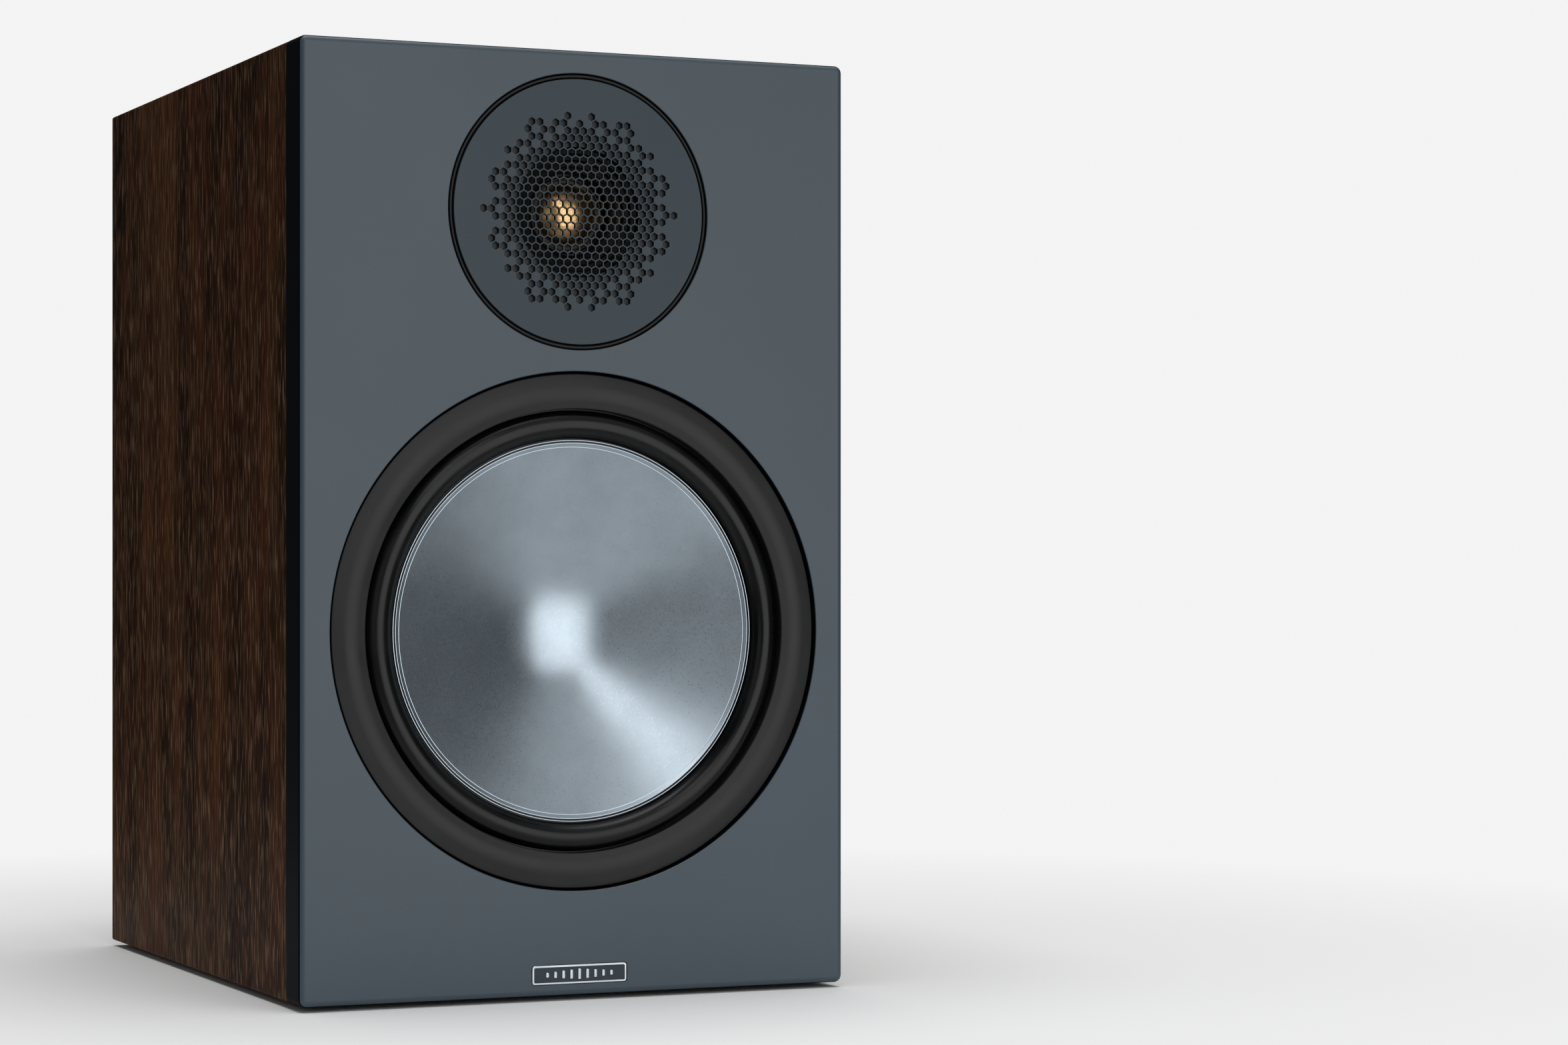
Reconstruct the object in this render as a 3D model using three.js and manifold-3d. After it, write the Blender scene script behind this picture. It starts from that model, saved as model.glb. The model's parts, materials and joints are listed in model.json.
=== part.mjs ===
// A two-way bookshelf loudspeaker: a wrapped wooden cabinet with a painted front baffle, a woofer
// with a one-piece metal cone, a dome tweeter behind a perforated plate, a rear port, and a rear
// terminal panel with four screw-down posts.
//
// Units are millimetres, +Z is up, the front faces -Y and X is centred on the cabinet. The origin is
// on the surface that the speaker stands on, in the middle of its footprint. Inside the cabinet
// group, x runs across the baffle, y is the depth behind the baffle's front face, and z is the height
// above the baffle's bottom edge. Each driver, the port and the terminal panel has its own group,
// whose y is that same depth and whose other two axes are centred on the piece.

import * as THREE from 'three';
import { mergeVertices } from 'three/addons/utils/BufferGeometryUtils.js';
import Module from 'manifold-3d';

// ---- Driving dimensions ----

const SEAM = 0.3; // clearance at every joint between two pieces
const LOOSE = 1.0; // visible gap round a driver in its recess

const BAFFLE_WIDTH = 231;
const BAFFLE_HEIGHT = 376;
const BAFFLE_THICKNESS = 18;
const BAFFLE_EDGE_RADIUS = 2.5;
const BAFFLE_PROUD = 0.5; // how far the baffle stands out past the cabinet's sides
const CABINET_DEPTH = 293;
const PANEL_THICKNESS = 15;
const FOOT_HEIGHT = 2;
const FOOT_RADIUS = 9;
const FOOT_INSET = 32; // from the cabinet's edges to a foot's centre
const BRACE_THICKNESS = 12;
const BRACE_RAIL = 34; // wood left round the window in the brace

const WOOFER_UP = 144.9; // bottom edge of the baffle to the woofer's axis
const WOOFER_RADIUS = 102.4; // outside of the trim ring
const WOOFER_RECESS_DEPTH = 10;
const TRIM_WIDTH = 13.9; // face of the trim ring
const TRIM_DISH = 4.1; // how far that face slopes in towards the cone
const LIP_DEPTH = 6.6; // front of the surround's two flat lips
const ROLL_RADIUS = 5.7;
const RUBBER_THICKNESS = 0.6;
const LIP_WIDTH = 3.2;
const CONE_THICKNESS = 0.65;
const CONE_SLOPE = 0.434;
const CONE_BOWL_RADIUS = 24; // inside this the cone turns into a shallow bowl
const COIL_RADIUS = 19.1; // middle of the voice coil's former
const COIL_WALL = 0.4;
const COIL_TRAVEL = 6; // either way from rest
const WINDING_WALL = 0.75;
const SPIDER_DEPTH = 49.2;
const SPIDER_RADIUS = 56.5;
const SPIDER_WAVES = 4;
const SPIDER_AMPLITUDE = 1.4;
const BASKET_WALL = 2.2;
const BASKET_WINDOWS = 6;
const MAGNET_RADIUS = 60;
const MAGNET_HEIGHT = 18;
const WOOFER_PLATE = 6; // thickness of the woofer's front and back steel plates

const TWEETER_DOWN = 64.3; // top edge of the baffle to the tweeter's axis
const TWEETER_RADIUS = 52.85; // outside of the perforated plate
const TWEETER_RECESS_DEPTH = 5;
const PLATE_THICKNESS = 1.5;
const HOLE_RINGS = 2; // rings of coarse holes round the middle hole of the plate
const HOLE_PITCH = 15.2;
const HOLE_FLATS = 12.4;
const SEAL_GROOVE = 2.25; // gap between the plate and its recess that the seal ring fills
const DOME_RADIUS = 12.6;
const DOME_HEIGHT = 5.2;
const DOME_WALL = 0.5;
const THROAT_DEPTH = 15.5; // rear face of the tweeter's waveguide
const THROAT_RADIUS = 16.6;
const TWEETER_BODY_RADIUS = 38;
const TWEETER_MAGNET_RADIUS = 30;
const TWEETER_MAGNET_HEIGHT = 8;
const TWEETER_PLATE = 3; // thickness of the tweeter's steel plates
const TWEETER_CHAMBER_LENGTH = 18;

const PORT_DOWN = 78; // top edge of the baffle to the port's axis
const PORT_BORE_RADIUS = 26;
const PORT_WALL = 2.5;
const PORT_LENGTH = 125;
const PORT_FLARE = 12; // radius of the rounded mouth
const PORT_FLANGE_WIDTH = 2.2;
const PORT_FLANGE_THICKNESS = 3;

const TERMINAL_UP = 96; // bottom edge of the baffle to the middle of the terminal panel
const TERMINAL_FLANGE = 110;
const TRAY_OPENING = 84;
const TRAY_DEPTH = 12;
const TRAY_WALL = 2.5;
const TERMINAL_PROUD = 16; // how far the posts stand out behind the cabinet
const POST_PITCH_X = 19;
const POST_PITCH_Z = 38;
const STUD_RADIUS = 3;
const PLUG_BORE_RADIUS = 2.05; // for a 4 mm plug
const PLUG_BORE_DEPTH = 17;
const COLLAR_RADIUS = 6.2;
const COLLAR_HEIGHT = 3;
const CAP_RADIUS = 7.2;
const WASHER_THICKNESS = 1.3;
const LINK_THICKNESS = 0.8;
const LINK_WIDTH = 12;

const BOARD_WIDTH = 150;
const BOARD_LENGTH = 90;
const BOARD_THICKNESS = 1.6;
const BOARD_STANDOFF = 5;
const LEAD_RADIUS = 2.2;
const PAD_THICKNESS = 24; // sound-absorbing pads on the side walls

const BADGE_WIDTH = 40;
const BADGE_HEIGHT = 7.5;
const BADGE_THICKNESS = 0.6;
const BADGE_UP = 8.5;

// Number of flat sides of round pieces.
const LARGE = 32;
const MEDIUM = 20;
const SMALL = 12;

// ---- Finishes ----

function finish(color, roughness, metalness = 0) {
  return new THREE.MeshStandardMaterial({ color, roughness, metalness });
}

const WALNUT = finish(0x3a2417, 0.5);
const RAW_BOARD = finish(0xa98d6b, 0.85);
const BAFFLE_PAINT = finish(0x3f474d, 0.42, 0.2);
const FACE_METAL = finish(0x434b51, 0.4, 0.4);
const BLACK_RUBBER = finish(0x1b1c1e, 0.8);
const BLACK_PLASTIC = finish(0x131416, 0.55);
const CONE_METAL = finish(0x8b969c, 0.35, 0.9);
const GOLD_METAL = finish(0xc39a4c, 0.3, 1);
const FERRITE = finish(0x2a2a2c, 0.7);
const STEEL = finish(0xa8abae, 0.4, 0.9);
const BRASS = finish(0xc9a45a, 0.28, 1);
const COPPER = finish(0xb06a3a, 0.4, 0.9);
const RED_PLASTIC = finish(0xa5161c, 0.4);
const BOARD_GREEN = finish(0x2f4a32, 0.6);
const CERAMIC_WHITE = finish(0xd8d5cc, 0.7);
const BROWN_CLOTH = finish(0x9a7b4a, 0.85);
const GREY_WOOL = finish(0x9fa0a0, 0.95);

// ---- Shapes ----

const wasm = await Module();
wasm.setup();

function toSolid(geometry) {
  const bare = geometry.clone();
  bare.deleteAttribute('normal');
  bare.deleteAttribute('uv');
  const merged = mergeVertices(bare);
  return new wasm.Manifold(new wasm.Mesh({
    numProp: 3,
    vertProperties: merged.attributes.position.array,
    triVerts: new Uint32Array(merged.index.array),
  }));
}

function toGeometry(solid) {
  const mesh = solid.getMesh();
  const geometry = new THREE.BufferGeometry();
  geometry.setAttribute('position', new THREE.BufferAttribute(mesh.vertProperties, 3));
  geometry.setIndex(new THREE.BufferAttribute(mesh.triVerts, 1));
  geometry.computeVertexNormals();
  return geometry;
}

// The blank with every cutter taken away.
function carve(blank, cutters) {
  const cut = cutters.reduce((solid, cutter) => solid.subtract(toSolid(cutter)), toSolid(blank));
  return toGeometry(cut);
}

function join(first, second) {
  return toGeometry(toSolid(first).add(toSolid(second)));
}

// A body turned about the y axis. The outline is a list of [radius, depth]; it starts and ends on the
// axis, or else it is closed here. Its direction is put right, so the faces always point outwards.
function turned(outline, sides) {
  const points = outline.map(([radius, depth]) => new THREE.Vector2(radius, depth));
  if (THREE.ShapeUtils.area(points) < 0) points.reverse();
  const onAxis = points[0].x === 0 && points[points.length - 1].x === 0;
  if (!onAxis) points.push(points[0].clone());
  return new THREE.LatheGeometry(points, sides);
}

function ring(inner, outer, front, back, sides) {
  return turned([[inner, front], [outer, front], [outer, back], [inner, back]], sides);
}

function disc(radius, front, back, sides) {
  return ring(0, radius, front, back, sides);
}

// Points on an arc of [radius, depth], from one angle to another in degrees. At 0 the arc points away
// from the axis, and at 90 it points to the rear.
function arc(radius, depth, size, from, to, steps) {
  return Array.from({ length: steps + 1 }, (_, i) => {
    const angle = THREE.MathUtils.degToRad(from + ((to - from) * i) / steps);
    return [radius + size * Math.cos(angle), depth + size * Math.sin(angle)];
  });
}

// Turns a body that was made about the y axis so that its axis is upright.
function upright(geometry) {
  return geometry.rotateX(Math.PI / 2);
}

// A block between two values on each axis.
function block([x0, x1], [y0, y1], [z0, z1]) {
  const geometry = new THREE.BoxGeometry(x1 - x0, y1 - y0, z1 - z0);
  return geometry.translate((x0 + x1) / 2, (y0 + y1) / 2, (z0 + z1) / 2);
}

// A rectangle with round corners, centred on a point.
function roundedRectangle(width, height, radius, x = 0, y = 0, Outline = THREE.Shape) {
  const right = width / 2 - radius;
  const top = height / 2 - radius;
  const corners = [[right, top, 0], [-right, top, 90], [-right, -top, 180], [right, -top, 270]];
  const outline = new Outline();
  for (const [cx, cy, from] of corners) {
    const start = THREE.MathUtils.degToRad(from);
    outline.absarc(x + cx, y + cy, radius, start, start + Math.PI / 2, false);
  }
  return outline;
}

function polygon(points, Outline = THREE.Shape) {
  return new Outline(points.map(([x, y]) => new THREE.Vector2(x, y)));
}

function circle(radius, x, y, sides) {
  const points = Array.from({ length: sides }, (_, i) => {
    const angle = (2 * Math.PI * i) / sides;
    return [x + radius * Math.cos(angle), y + radius * Math.sin(angle)];
  });
  return polygon(points, THREE.Path);
}

// An outline drawn as seen from the front, given its thickness from one depth to another.
function plate(outline, front, back, options = {}) {
  const geometry = new THREE.ExtrudeGeometry(outline, {
    depth: back - front, bevelEnabled: false, curveSegments: 4, ...options,
  });
  return geometry.rotateX(Math.PI / 2).translate(0, back, 0);
}

// A round lead along a smooth curve through the points.
function tube(points, radius) {
  const path = new THREE.CatmullRomCurve3(points.map((point) => new THREE.Vector3(...point)));
  const sides = 6;
  const section = circle(radius, 0, 0, sides).getPoints(1);
  const steps = 4 * (points.length - 1);
  return new THREE.ExtrudeGeometry(new THREE.Shape(section), { steps, extrudePath: path });
}

function piece(name, geometry, material) {
  const mesh = new THREE.Mesh(geometry, material);
  mesh.name = name;
  return mesh;
}

function groupAt(x, depth, height, ...meshes) {
  const group = new THREE.Group();
  group.position.set(x, depth, height);
  group.add(...meshes);
  return group;
}

// ---- Places worked out from the driving dimensions ----

const CABINET_HALF_WIDTH = BAFFLE_WIDTH / 2 - BAFFLE_PROUD;
const CABINET_BOTTOM = BAFFLE_PROUD;
const CABINET_TOP = BAFFLE_HEIGHT - BAFFLE_PROUD;
const CABINET_FRONT = BAFFLE_THICKNESS + SEAM;
const ROOM_HALF_WIDTH = CABINET_HALF_WIDTH - PANEL_THICKNESS;
const ROOM_BOTTOM = CABINET_BOTTOM + PANEL_THICKNESS;
const ROOM_TOP = CABINET_TOP - PANEL_THICKNESS;
const ROOM_BACK = CABINET_DEPTH - PANEL_THICKNESS;
const TWEETER_UP = BAFFLE_HEIGHT - TWEETER_DOWN;
const PORT_UP = BAFFLE_HEIGHT - PORT_DOWN;
const WOOFER_RECESS_RADIUS = WOOFER_RADIUS + LOOSE;
const TWEETER_RECESS_RADIUS = TWEETER_RADIUS + SEAL_GROOVE;
const BASKET_RADIUS = WOOFER_RADIUS - 11.6; // outside of the basket behind its flange
const BRACE_UP = (WOOFER_UP + WOOFER_RECESS_RADIUS + TWEETER_UP - TWEETER_RECESS_RADIUS) / 2;
const TOTAL_DEPTH = CABINET_DEPTH + TERMINAL_PROUD;

// ---- Cabinet ----

// One panel of the folded wrap: its section, mitred at both ends, drawn from the front.
function wrapPanel(name, section) {
  return piece(name, plate(polygon(section), CABINET_FRONT, CABINET_DEPTH), WALNUT);
}

// The top panel, or the bottom one when it is turned over.
function levelPanel(name, outside, inside) {
  const outer = CABINET_HALF_WIDTH - SEAM;
  const inner = ROOM_HALF_WIDTH - SEAM;
  return wrapPanel(name, [[-outer, outside], [outer, outside], [inner, inside], [-inner, inside]]);
}

function sidePanel(name, side) {
  return wrapPanel(name, [
    [side * CABINET_HALF_WIDTH, CABINET_BOTTOM],
    [side * CABINET_HALF_WIDTH, CABINET_TOP],
    [side * ROOM_HALF_WIDTH, ROOM_TOP],
    [side * ROOM_HALF_WIDTH, ROOM_BOTTOM],
  ]);
}

function rearPanel() {
  const width = 2 * (ROOM_HALF_WIDTH - SEAM);
  const bottom = ROOM_BOTTOM + SEAM;
  const top = ROOM_TOP - SEAM;
  const board = block([-width / 2, width / 2], [ROOM_BACK, CABINET_DEPTH], [bottom, top]);
  const past = CABINET_DEPTH + 1;
  const portHole = disc(portMouthRadius(PORT_FLANGE_THICKNESS) + PORT_WALL + SEAM, 0, past, MEDIUM);
  const portSeat = disc(portFlangeRadius() + SEAM, CABINET_DEPTH - PORT_FLANGE_THICKNESS - SEAM, past, LARGE);
  const half = TRAY_OPENING / 2 + TRAY_WALL + SEAM;
  const trayHole = block([-half, half], [0, past], [TERMINAL_UP - half, TERMINAL_UP + half]);
  const cutters = [portHole.translate(0, 0, PORT_UP), portSeat.translate(0, 0, PORT_UP), trayHole];
  return piece('rear_panel', carve(board, cutters), WALNUT);
}

// The baffle has rounded front edges and a square back.
function frontBaffle() {
  const rounding = BAFFLE_EDGE_RADIUS;
  const outline = roundedRectangle(
    BAFFLE_WIDTH - 2 * rounding, BAFFLE_HEIGHT - 2 * rounding, rounding, 0, BAFFLE_HEIGHT / 2,
  );
  const slab = plate(outline, rounding, BAFFLE_THICKNESS + rounding, {
    bevelEnabled: true, bevelThickness: rounding, bevelSize: rounding, bevelSegments: 2,
  });
  const behind = block(
    [-BAFFLE_WIDTH, BAFFLE_WIDTH],
    [BAFFLE_THICKNESS, 2 * CABINET_DEPTH],
    [-BAFFLE_HEIGHT, 2 * BAFFLE_HEIGHT],
  );
  const through = 2 * BAFFLE_THICKNESS;
  const wooferCuts = [
    disc(WOOFER_RECESS_RADIUS, -1, WOOFER_RECESS_DEPTH, LARGE),
    disc(BASKET_RADIUS + LOOSE, -1, through, LARGE),
  ];
  const tweeterCuts = [
    disc(TWEETER_RECESS_RADIUS, -1, TWEETER_RECESS_DEPTH, LARGE),
    disc(TWEETER_BODY_RADIUS + LOOSE, -1, through, LARGE),
  ];
  const badgeCut = plate(
    roundedRectangle(BADGE_WIDTH + 2 * SEAM, BADGE_HEIGHT + 2 * SEAM, 1, 0, BADGE_UP),
    -1, BADGE_THICKNESS + SEAM,
  );
  const cutters = [
    behind,
    ...wooferCuts.map((cut) => cut.translate(0, 0, WOOFER_UP)),
    ...tweeterCuts.map((cut) => cut.translate(0, 0, TWEETER_UP)),
    badgeCut,
  ];
  return piece('front_baffle', carve(slab, cutters), BAFFLE_PAINT);
}

// A shelf between the two drivers that ties all four walls and the baffle together.
function shelfBrace() {
  const width = 2 * (ROOM_HALF_WIDTH - SEAM);
  const length = ROOM_BACK - SEAM - CABINET_FRONT;
  const middle = CABINET_FRONT + length / 2;
  const outline = polygon([
    [-width / 2, middle - length / 2], [width / 2, middle - length / 2],
    [width / 2, middle + length / 2], [-width / 2, middle + length / 2],
  ]);
  const window = roundedRectangle(
    width - 2 * BRACE_RAIL, length - 2 * BRACE_RAIL, 20, 0, middle, THREE.Path,
  );
  outline.holes.push(window);
  const shelf = new THREE.ExtrudeGeometry(outline, {
    depth: BRACE_THICKNESS, bevelEnabled: false, curveSegments: 4,
  });
  return piece('shelf_brace', shelf.translate(0, 0, BRACE_UP - BRACE_THICKNESS / 2), RAW_BOARD);
}

function feet() {
  const meshes = [];
  const x = CABINET_HALF_WIDTH - FOOT_INSET;
  const places = { front: FOOT_INSET, rear: CABINET_DEPTH - FOOT_INSET };
  for (const [end, depth] of Object.entries(places)) {
    for (const [side, sign] of [['left', -1], ['right', 1]]) {
      const pad = upright(disc(FOOT_RADIUS, -FOOT_HEIGHT, CABINET_BOTTOM - SEAM, SMALL));
      meshes.push(piece(`foot_${end}_${side}`, pad.translate(sign * x, depth, 0), BLACK_RUBBER));
    }
  }
  return meshes;
}

function badge() {
  const outline = roundedRectangle(BADGE_WIDTH, BADGE_HEIGHT, 1, 0, BADGE_UP);
  return piece('badge_plate', plate(outline, 0, BADGE_THICKNESS), FACE_METAL);
}

// ---- Woofer ----

const TRIM_INNER_RADIUS = WOOFER_RADIUS - TRIM_WIDTH;
const ROLL_MIDDLE = TRIM_INNER_RADIUS - SEAM - 0.1 - ROLL_RADIUS;
const LIP_BACK = LIP_DEPTH + RUBBER_THICKNESS;
const FLANGE_FRONT = LIP_BACK + SEAM;
const FLANGE_BACK = WOOFER_RECESS_DEPTH - SEAM;
const CONE_RIM_RADIUS = ROLL_MIDDLE - ROLL_RADIUS - 2 * SEAM;
const CONE_RIM_BACK = LIP_DEPTH - SEAM;
const CONE_RIM_FRONT = CONE_RIM_BACK - CONE_THICKNESS;
const DISH_RADIUS = CONE_RIM_RADIUS - LIP_WIDTH - SEAM;
const FORMER_INNER = COIL_RADIUS - COIL_WALL / 2;
const FORMER_OUTER = COIL_RADIUS + COIL_WALL / 2;
const LEDGE_DEPTH = SPIDER_DEPTH + RUBBER_THICKNESS + SEAM;
const MAGNET_FRONT = LEDGE_DEPTH + 12; // front of the woofer's front steel plate
const WINDING_LENGTH = WOOFER_PLATE + 1.5 * COIL_TRAVEL; // so that it overhangs the plate's gap
const PLATE_HOLE_RADIUS = FORMER_OUTER + WINDING_WALL + 3 * SEAM;
const BACK_PLATE_FRONT = MAGNET_FRONT + WOOFER_PLATE + MAGNET_HEIGHT + 2 * SEAM;

// Depth of the cone's front face: a straight slope that turns into a shallow bowl in the middle.
function coneDepth(radius) {
  const slopeStart = CONE_RIM_FRONT + CONE_SLOPE * (DISH_RADIUS - Math.max(radius, CONE_BOWL_RADIUS));
  const inside = Math.min(radius, CONE_BOWL_RADIUS);
  const bowl = (CONE_SLOPE * (CONE_BOWL_RADIUS ** 2 - inside ** 2)) / (2 * CONE_BOWL_RADIUS);
  return slopeStart + bowl;
}

function cone() {
  const stops = [0, 0.33, 0.66, 1].map((share) => share * CONE_BOWL_RADIUS);
  const front = [...stops, DISH_RADIUS].map((radius) => [radius, coneDepth(radius)]);
  const rim = [[CONE_RIM_RADIUS, CONE_RIM_FRONT], [CONE_RIM_RADIUS, CONE_RIM_BACK], [DISH_RADIUS, CONE_RIM_BACK]];
  const back = stops.reverse().map((radius) => [radius, coneDepth(radius) + CONE_THICKNESS]);
  return piece('woofer_cone', turned([...front, ...rim, ...back], LARGE), CONE_METAL);
}

function surround() {
  const inner = ROLL_RADIUS - RUBBER_THICKNESS;
  const tilt = THREE.MathUtils.radToDeg(Math.asin(RUBBER_THICKNESS / ROLL_RADIUS));
  const outerLip = ROLL_MIDDLE + ROLL_RADIUS + LIP_WIDTH;
  const innerLip = DISH_RADIUS + 2 * SEAM;
  const outline = [
    [outerLip, LIP_BACK],
    [outerLip, LIP_DEPTH],
    ...arc(ROLL_MIDDLE, LIP_BACK, ROLL_RADIUS, -tilt, tilt - 180, 6),
    [innerLip, LIP_DEPTH],
    [innerLip, LIP_BACK],
    ...arc(ROLL_MIDDLE, LIP_BACK, inner, -180, 0, 5),
  ];
  return piece('woofer_surround', turned(outline, LARGE), BLACK_RUBBER);
}

function trimRing() {
  const back = LIP_DEPTH - SEAM;
  const outline = [
    [WOOFER_RADIUS, back],
    [WOOFER_RADIUS, 0.8],
    [WOOFER_RADIUS - 0.8, 0],
    [WOOFER_RADIUS - 4, 0.1],
    [TRIM_INNER_RADIUS + 5, TRIM_DISH / 2],
    [TRIM_INNER_RADIUS + 0.4, TRIM_DISH],
    [TRIM_INNER_RADIUS, TRIM_DISH + 0.6],
    [TRIM_INNER_RADIUS, back],
  ];
  return piece('woofer_trim_ring', turned(outline, LARGE), BLACK_RUBBER);
}

// The pressed basket: a flange, six spokes down to the ledge that holds the spider, and a cup that
// is screwed to the front steel plate.
function basket() {
  const flangeOuter = WOOFER_RADIUS - 1;
  const outside = BASKET_RADIUS;
  const inside = outside - BASKET_WALL;
  const ledge = SPIDER_RADIUS + 2 * SEAM;
  const cup = SPIDER_RADIUS - 8;
  const floor = MAGNET_FRONT - SEAM;
  const shoulder = BAFFLE_THICKNESS - 2;
  const outline = [
    [inside - 1.6, FLANGE_FRONT],
    [flangeOuter, FLANGE_FRONT],
    [flangeOuter, FLANGE_BACK],
    [outside, FLANGE_BACK],
    [outside, shoulder],
    [ledge + BASKET_WALL, LEDGE_DEPTH - 0.5],
    [ledge + BASKET_WALL, LEDGE_DEPTH + BASKET_WALL],
    [cup + BASKET_WALL, LEDGE_DEPTH + BASKET_WALL],
    [cup + BASKET_WALL, floor],
    [COIL_RADIUS + 5, floor],
    [COIL_RADIUS + 5, floor - BASKET_WALL],
    [cup, floor - BASKET_WALL],
    [cup, LEDGE_DEPTH],
    [ledge, LEDGE_DEPTH],
    [inside, shoulder],
    [inside, FLANGE_BACK],
  ];
  const windows = Array.from({ length: BASKET_WINDOWS }, (_, i) => {
    const window = block([-24, 24], [shoulder + 5, LEDGE_DEPTH - 6], [ledge - 4, outside + 5]);
    return window.rotateY((2 * Math.PI * (i + 0.5)) / BASKET_WINDOWS);
  });
  return piece('woofer_basket', carve(turned(outline, MEDIUM), windows), BLACK_PLASTIC);
}

// A springy cloth disc with pressed waves, between the voice coil and the basket's ledge.
function spider() {
  const inner = FORMER_OUTER + SEAM;
  const first = inner + 3;
  const last = SPIDER_RADIUS - 7;
  const count = 2 * SPIDER_WAVES;
  const waves = Array.from({ length: count + 1 }, (_, i) => {
    const side = i === 0 || i === count ? 0 : (-1) ** i;
    return [first + ((last - first) * i) / count, side * SPIDER_AMPLITUDE];
  });
  const line = [[inner, 0], ...waves, [SPIDER_RADIUS, 0]];
  const front = line.map(([radius, wave]) => [radius, SPIDER_DEPTH + wave]);
  const back = line.reverse().map(([radius, wave]) => [radius, SPIDER_DEPTH + RUBBER_THICKNESS + wave]);
  return piece('woofer_spider', turned([...front, ...back], MEDIUM), BROWN_CLOTH);
}

function wooferMotor() {
  const plateBack = MAGNET_FRONT + WOOFER_PLATE;
  const magnetFront = plateBack + SEAM;
  const poleRadius = FORMER_INNER - 2 * SEAM;
  const vent = 5;
  const yoke = [
    [vent, MAGNET_FRONT], [poleRadius, MAGNET_FRONT], [poleRadius, BACK_PLATE_FRONT],
    [MAGNET_RADIUS - 3, BACK_PLATE_FRONT], [MAGNET_RADIUS - 3, BACK_PLATE_FRONT + WOOFER_PLATE],
    [vent, BACK_PLATE_FRONT + WOOFER_PLATE],
  ];
  const plateRadius = MAGNET_RADIUS - 3;
  const topPlate = ring(PLATE_HOLE_RADIUS, plateRadius, MAGNET_FRONT, plateBack, MEDIUM);
  const magnet = ring(MAGNET_RADIUS / 2, MAGNET_RADIUS, magnetFront, magnetFront + MAGNET_HEIGHT, MEDIUM);
  return [
    piece('woofer_top_plate', topPlate, STEEL),
    piece('woofer_magnet', magnet, FERRITE),
    piece('woofer_pole_yoke', turned(yoke, MEDIUM), STEEL),
  ];
}

function wooferCoil() {
  const front = coneDepth(FORMER_INNER) + CONE_THICKNESS + SEAM;
  const gapMiddle = MAGNET_FRONT + WOOFER_PLATE / 2;
  const windingBack = gapMiddle + WINDING_LENGTH / 2;
  const windingInner = FORMER_OUTER + SEAM / 2;
  const former = ring(FORMER_INNER, FORMER_OUTER, front, windingBack + 1.5, MEDIUM);
  const winding = ring(
    windingInner, windingInner + WINDING_WALL, windingBack - WINDING_LENGTH, windingBack, MEDIUM,
  );
  return [
    piece('woofer_coil_former', former, BROWN_CLOTH),
    piece('woofer_coil_winding', winding, COPPER),
  ];
}

const STRIP_TOP = -(SPIDER_RADIUS + 2 * SEAM + BASKET_WALL + SEAM); // solder tags under the basket
const STRIP_THICKNESS = 3;

function wooferTerminalStrip() {
  const depth = [LEDGE_DEPTH, LEDGE_DEPTH + 11];
  const strip = block([-12, 12], depth, [STRIP_TOP - STRIP_THICKNESS, STRIP_TOP]);
  return piece('woofer_terminal_strip', strip, BROWN_CLOTH);
}

function woofer() {
  return groupAt(
    0, 0, WOOFER_UP, trimRing(), surround(), cone(), ...wooferCoil(), spider(), basket(),
    ...wooferMotor(), wooferTerminalStrip(),
  );
}

// ---- Tweeter ----

const GUIDE_FRONT = PLATE_THICKNESS + SEAM;
const GUIDE_SEAT = TWEETER_RECESS_DEPTH - SEAM;
const SUSPENSION_FRONT = THROAT_DEPTH + SEAM;
const SUSPENSION_BACK = SUSPENSION_FRONT + 0.6;
const TWEETER_PLATE_FRONT = SUSPENSION_BACK + SEAM;
const TWEETER_MAGNET_FRONT = TWEETER_PLATE_FRONT + TWEETER_PLATE + SEAM;
const TWEETER_YOKE_FRONT = TWEETER_MAGNET_FRONT + TWEETER_MAGNET_HEIGHT + SEAM;
const TWEETER_YOKE_BACK = TWEETER_YOKE_FRONT + TWEETER_PLATE;
const CHAMBER_RADIUS = TWEETER_MAGNET_RADIUS + 3;
const CHAMBER_BACK = TWEETER_YOKE_BACK + SEAM + TWEETER_CHAMBER_LENGTH;
const DOME_COIL_INNER = DOME_RADIUS - 0.55;

// Centres of a hexagonal pattern of holes: rings round a middle hole.
function hexagonPattern(rings, pitch) {
  const centres = [];
  for (let row = -rings; row <= rings; row += 1) {
    const count = 2 * rings + 1 - Math.abs(row);
    for (let i = 0; i < count; i += 1) {
      centres.push([(i - (count - 1) / 2) * pitch, row * pitch * Math.sin(Math.PI / 3)]);
    }
  }
  return centres;
}

function perforatedPlate() {
  const outline = new THREE.Shape(circle(TWEETER_RADIUS, 0, 0, LARGE).getPoints(1));
  const corner = HOLE_FLATS / Math.sqrt(3);
  for (const [x, y] of hexagonPattern(HOLE_RINGS, HOLE_PITCH)) {
    const points = Array.from({ length: 6 }, (_, i) => {
      const angle = (Math.PI * (2 * i + 1)) / 6;
      return [x + corner * Math.cos(angle), y + corner * Math.sin(angle)];
    });
    outline.holes.push(polygon(points, THREE.Path));
  }
  return piece('tweeter_face_plate', plate(outline, 0, PLATE_THICKNESS), FACE_METAL);
}

function sealRing() {
  const inner = TWEETER_RADIUS + SEAM;
  const outer = TWEETER_RECESS_RADIUS - SEAM;
  const middle = (inner + outer) / 2;
  const outline = [[inner, GUIDE_SEAT], [inner, 1], [middle, 0.3], [outer, 1], [outer, GUIDE_SEAT]];
  return piece('tweeter_seal_ring', turned(outline, LARGE), BLACK_RUBBER);
}

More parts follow.
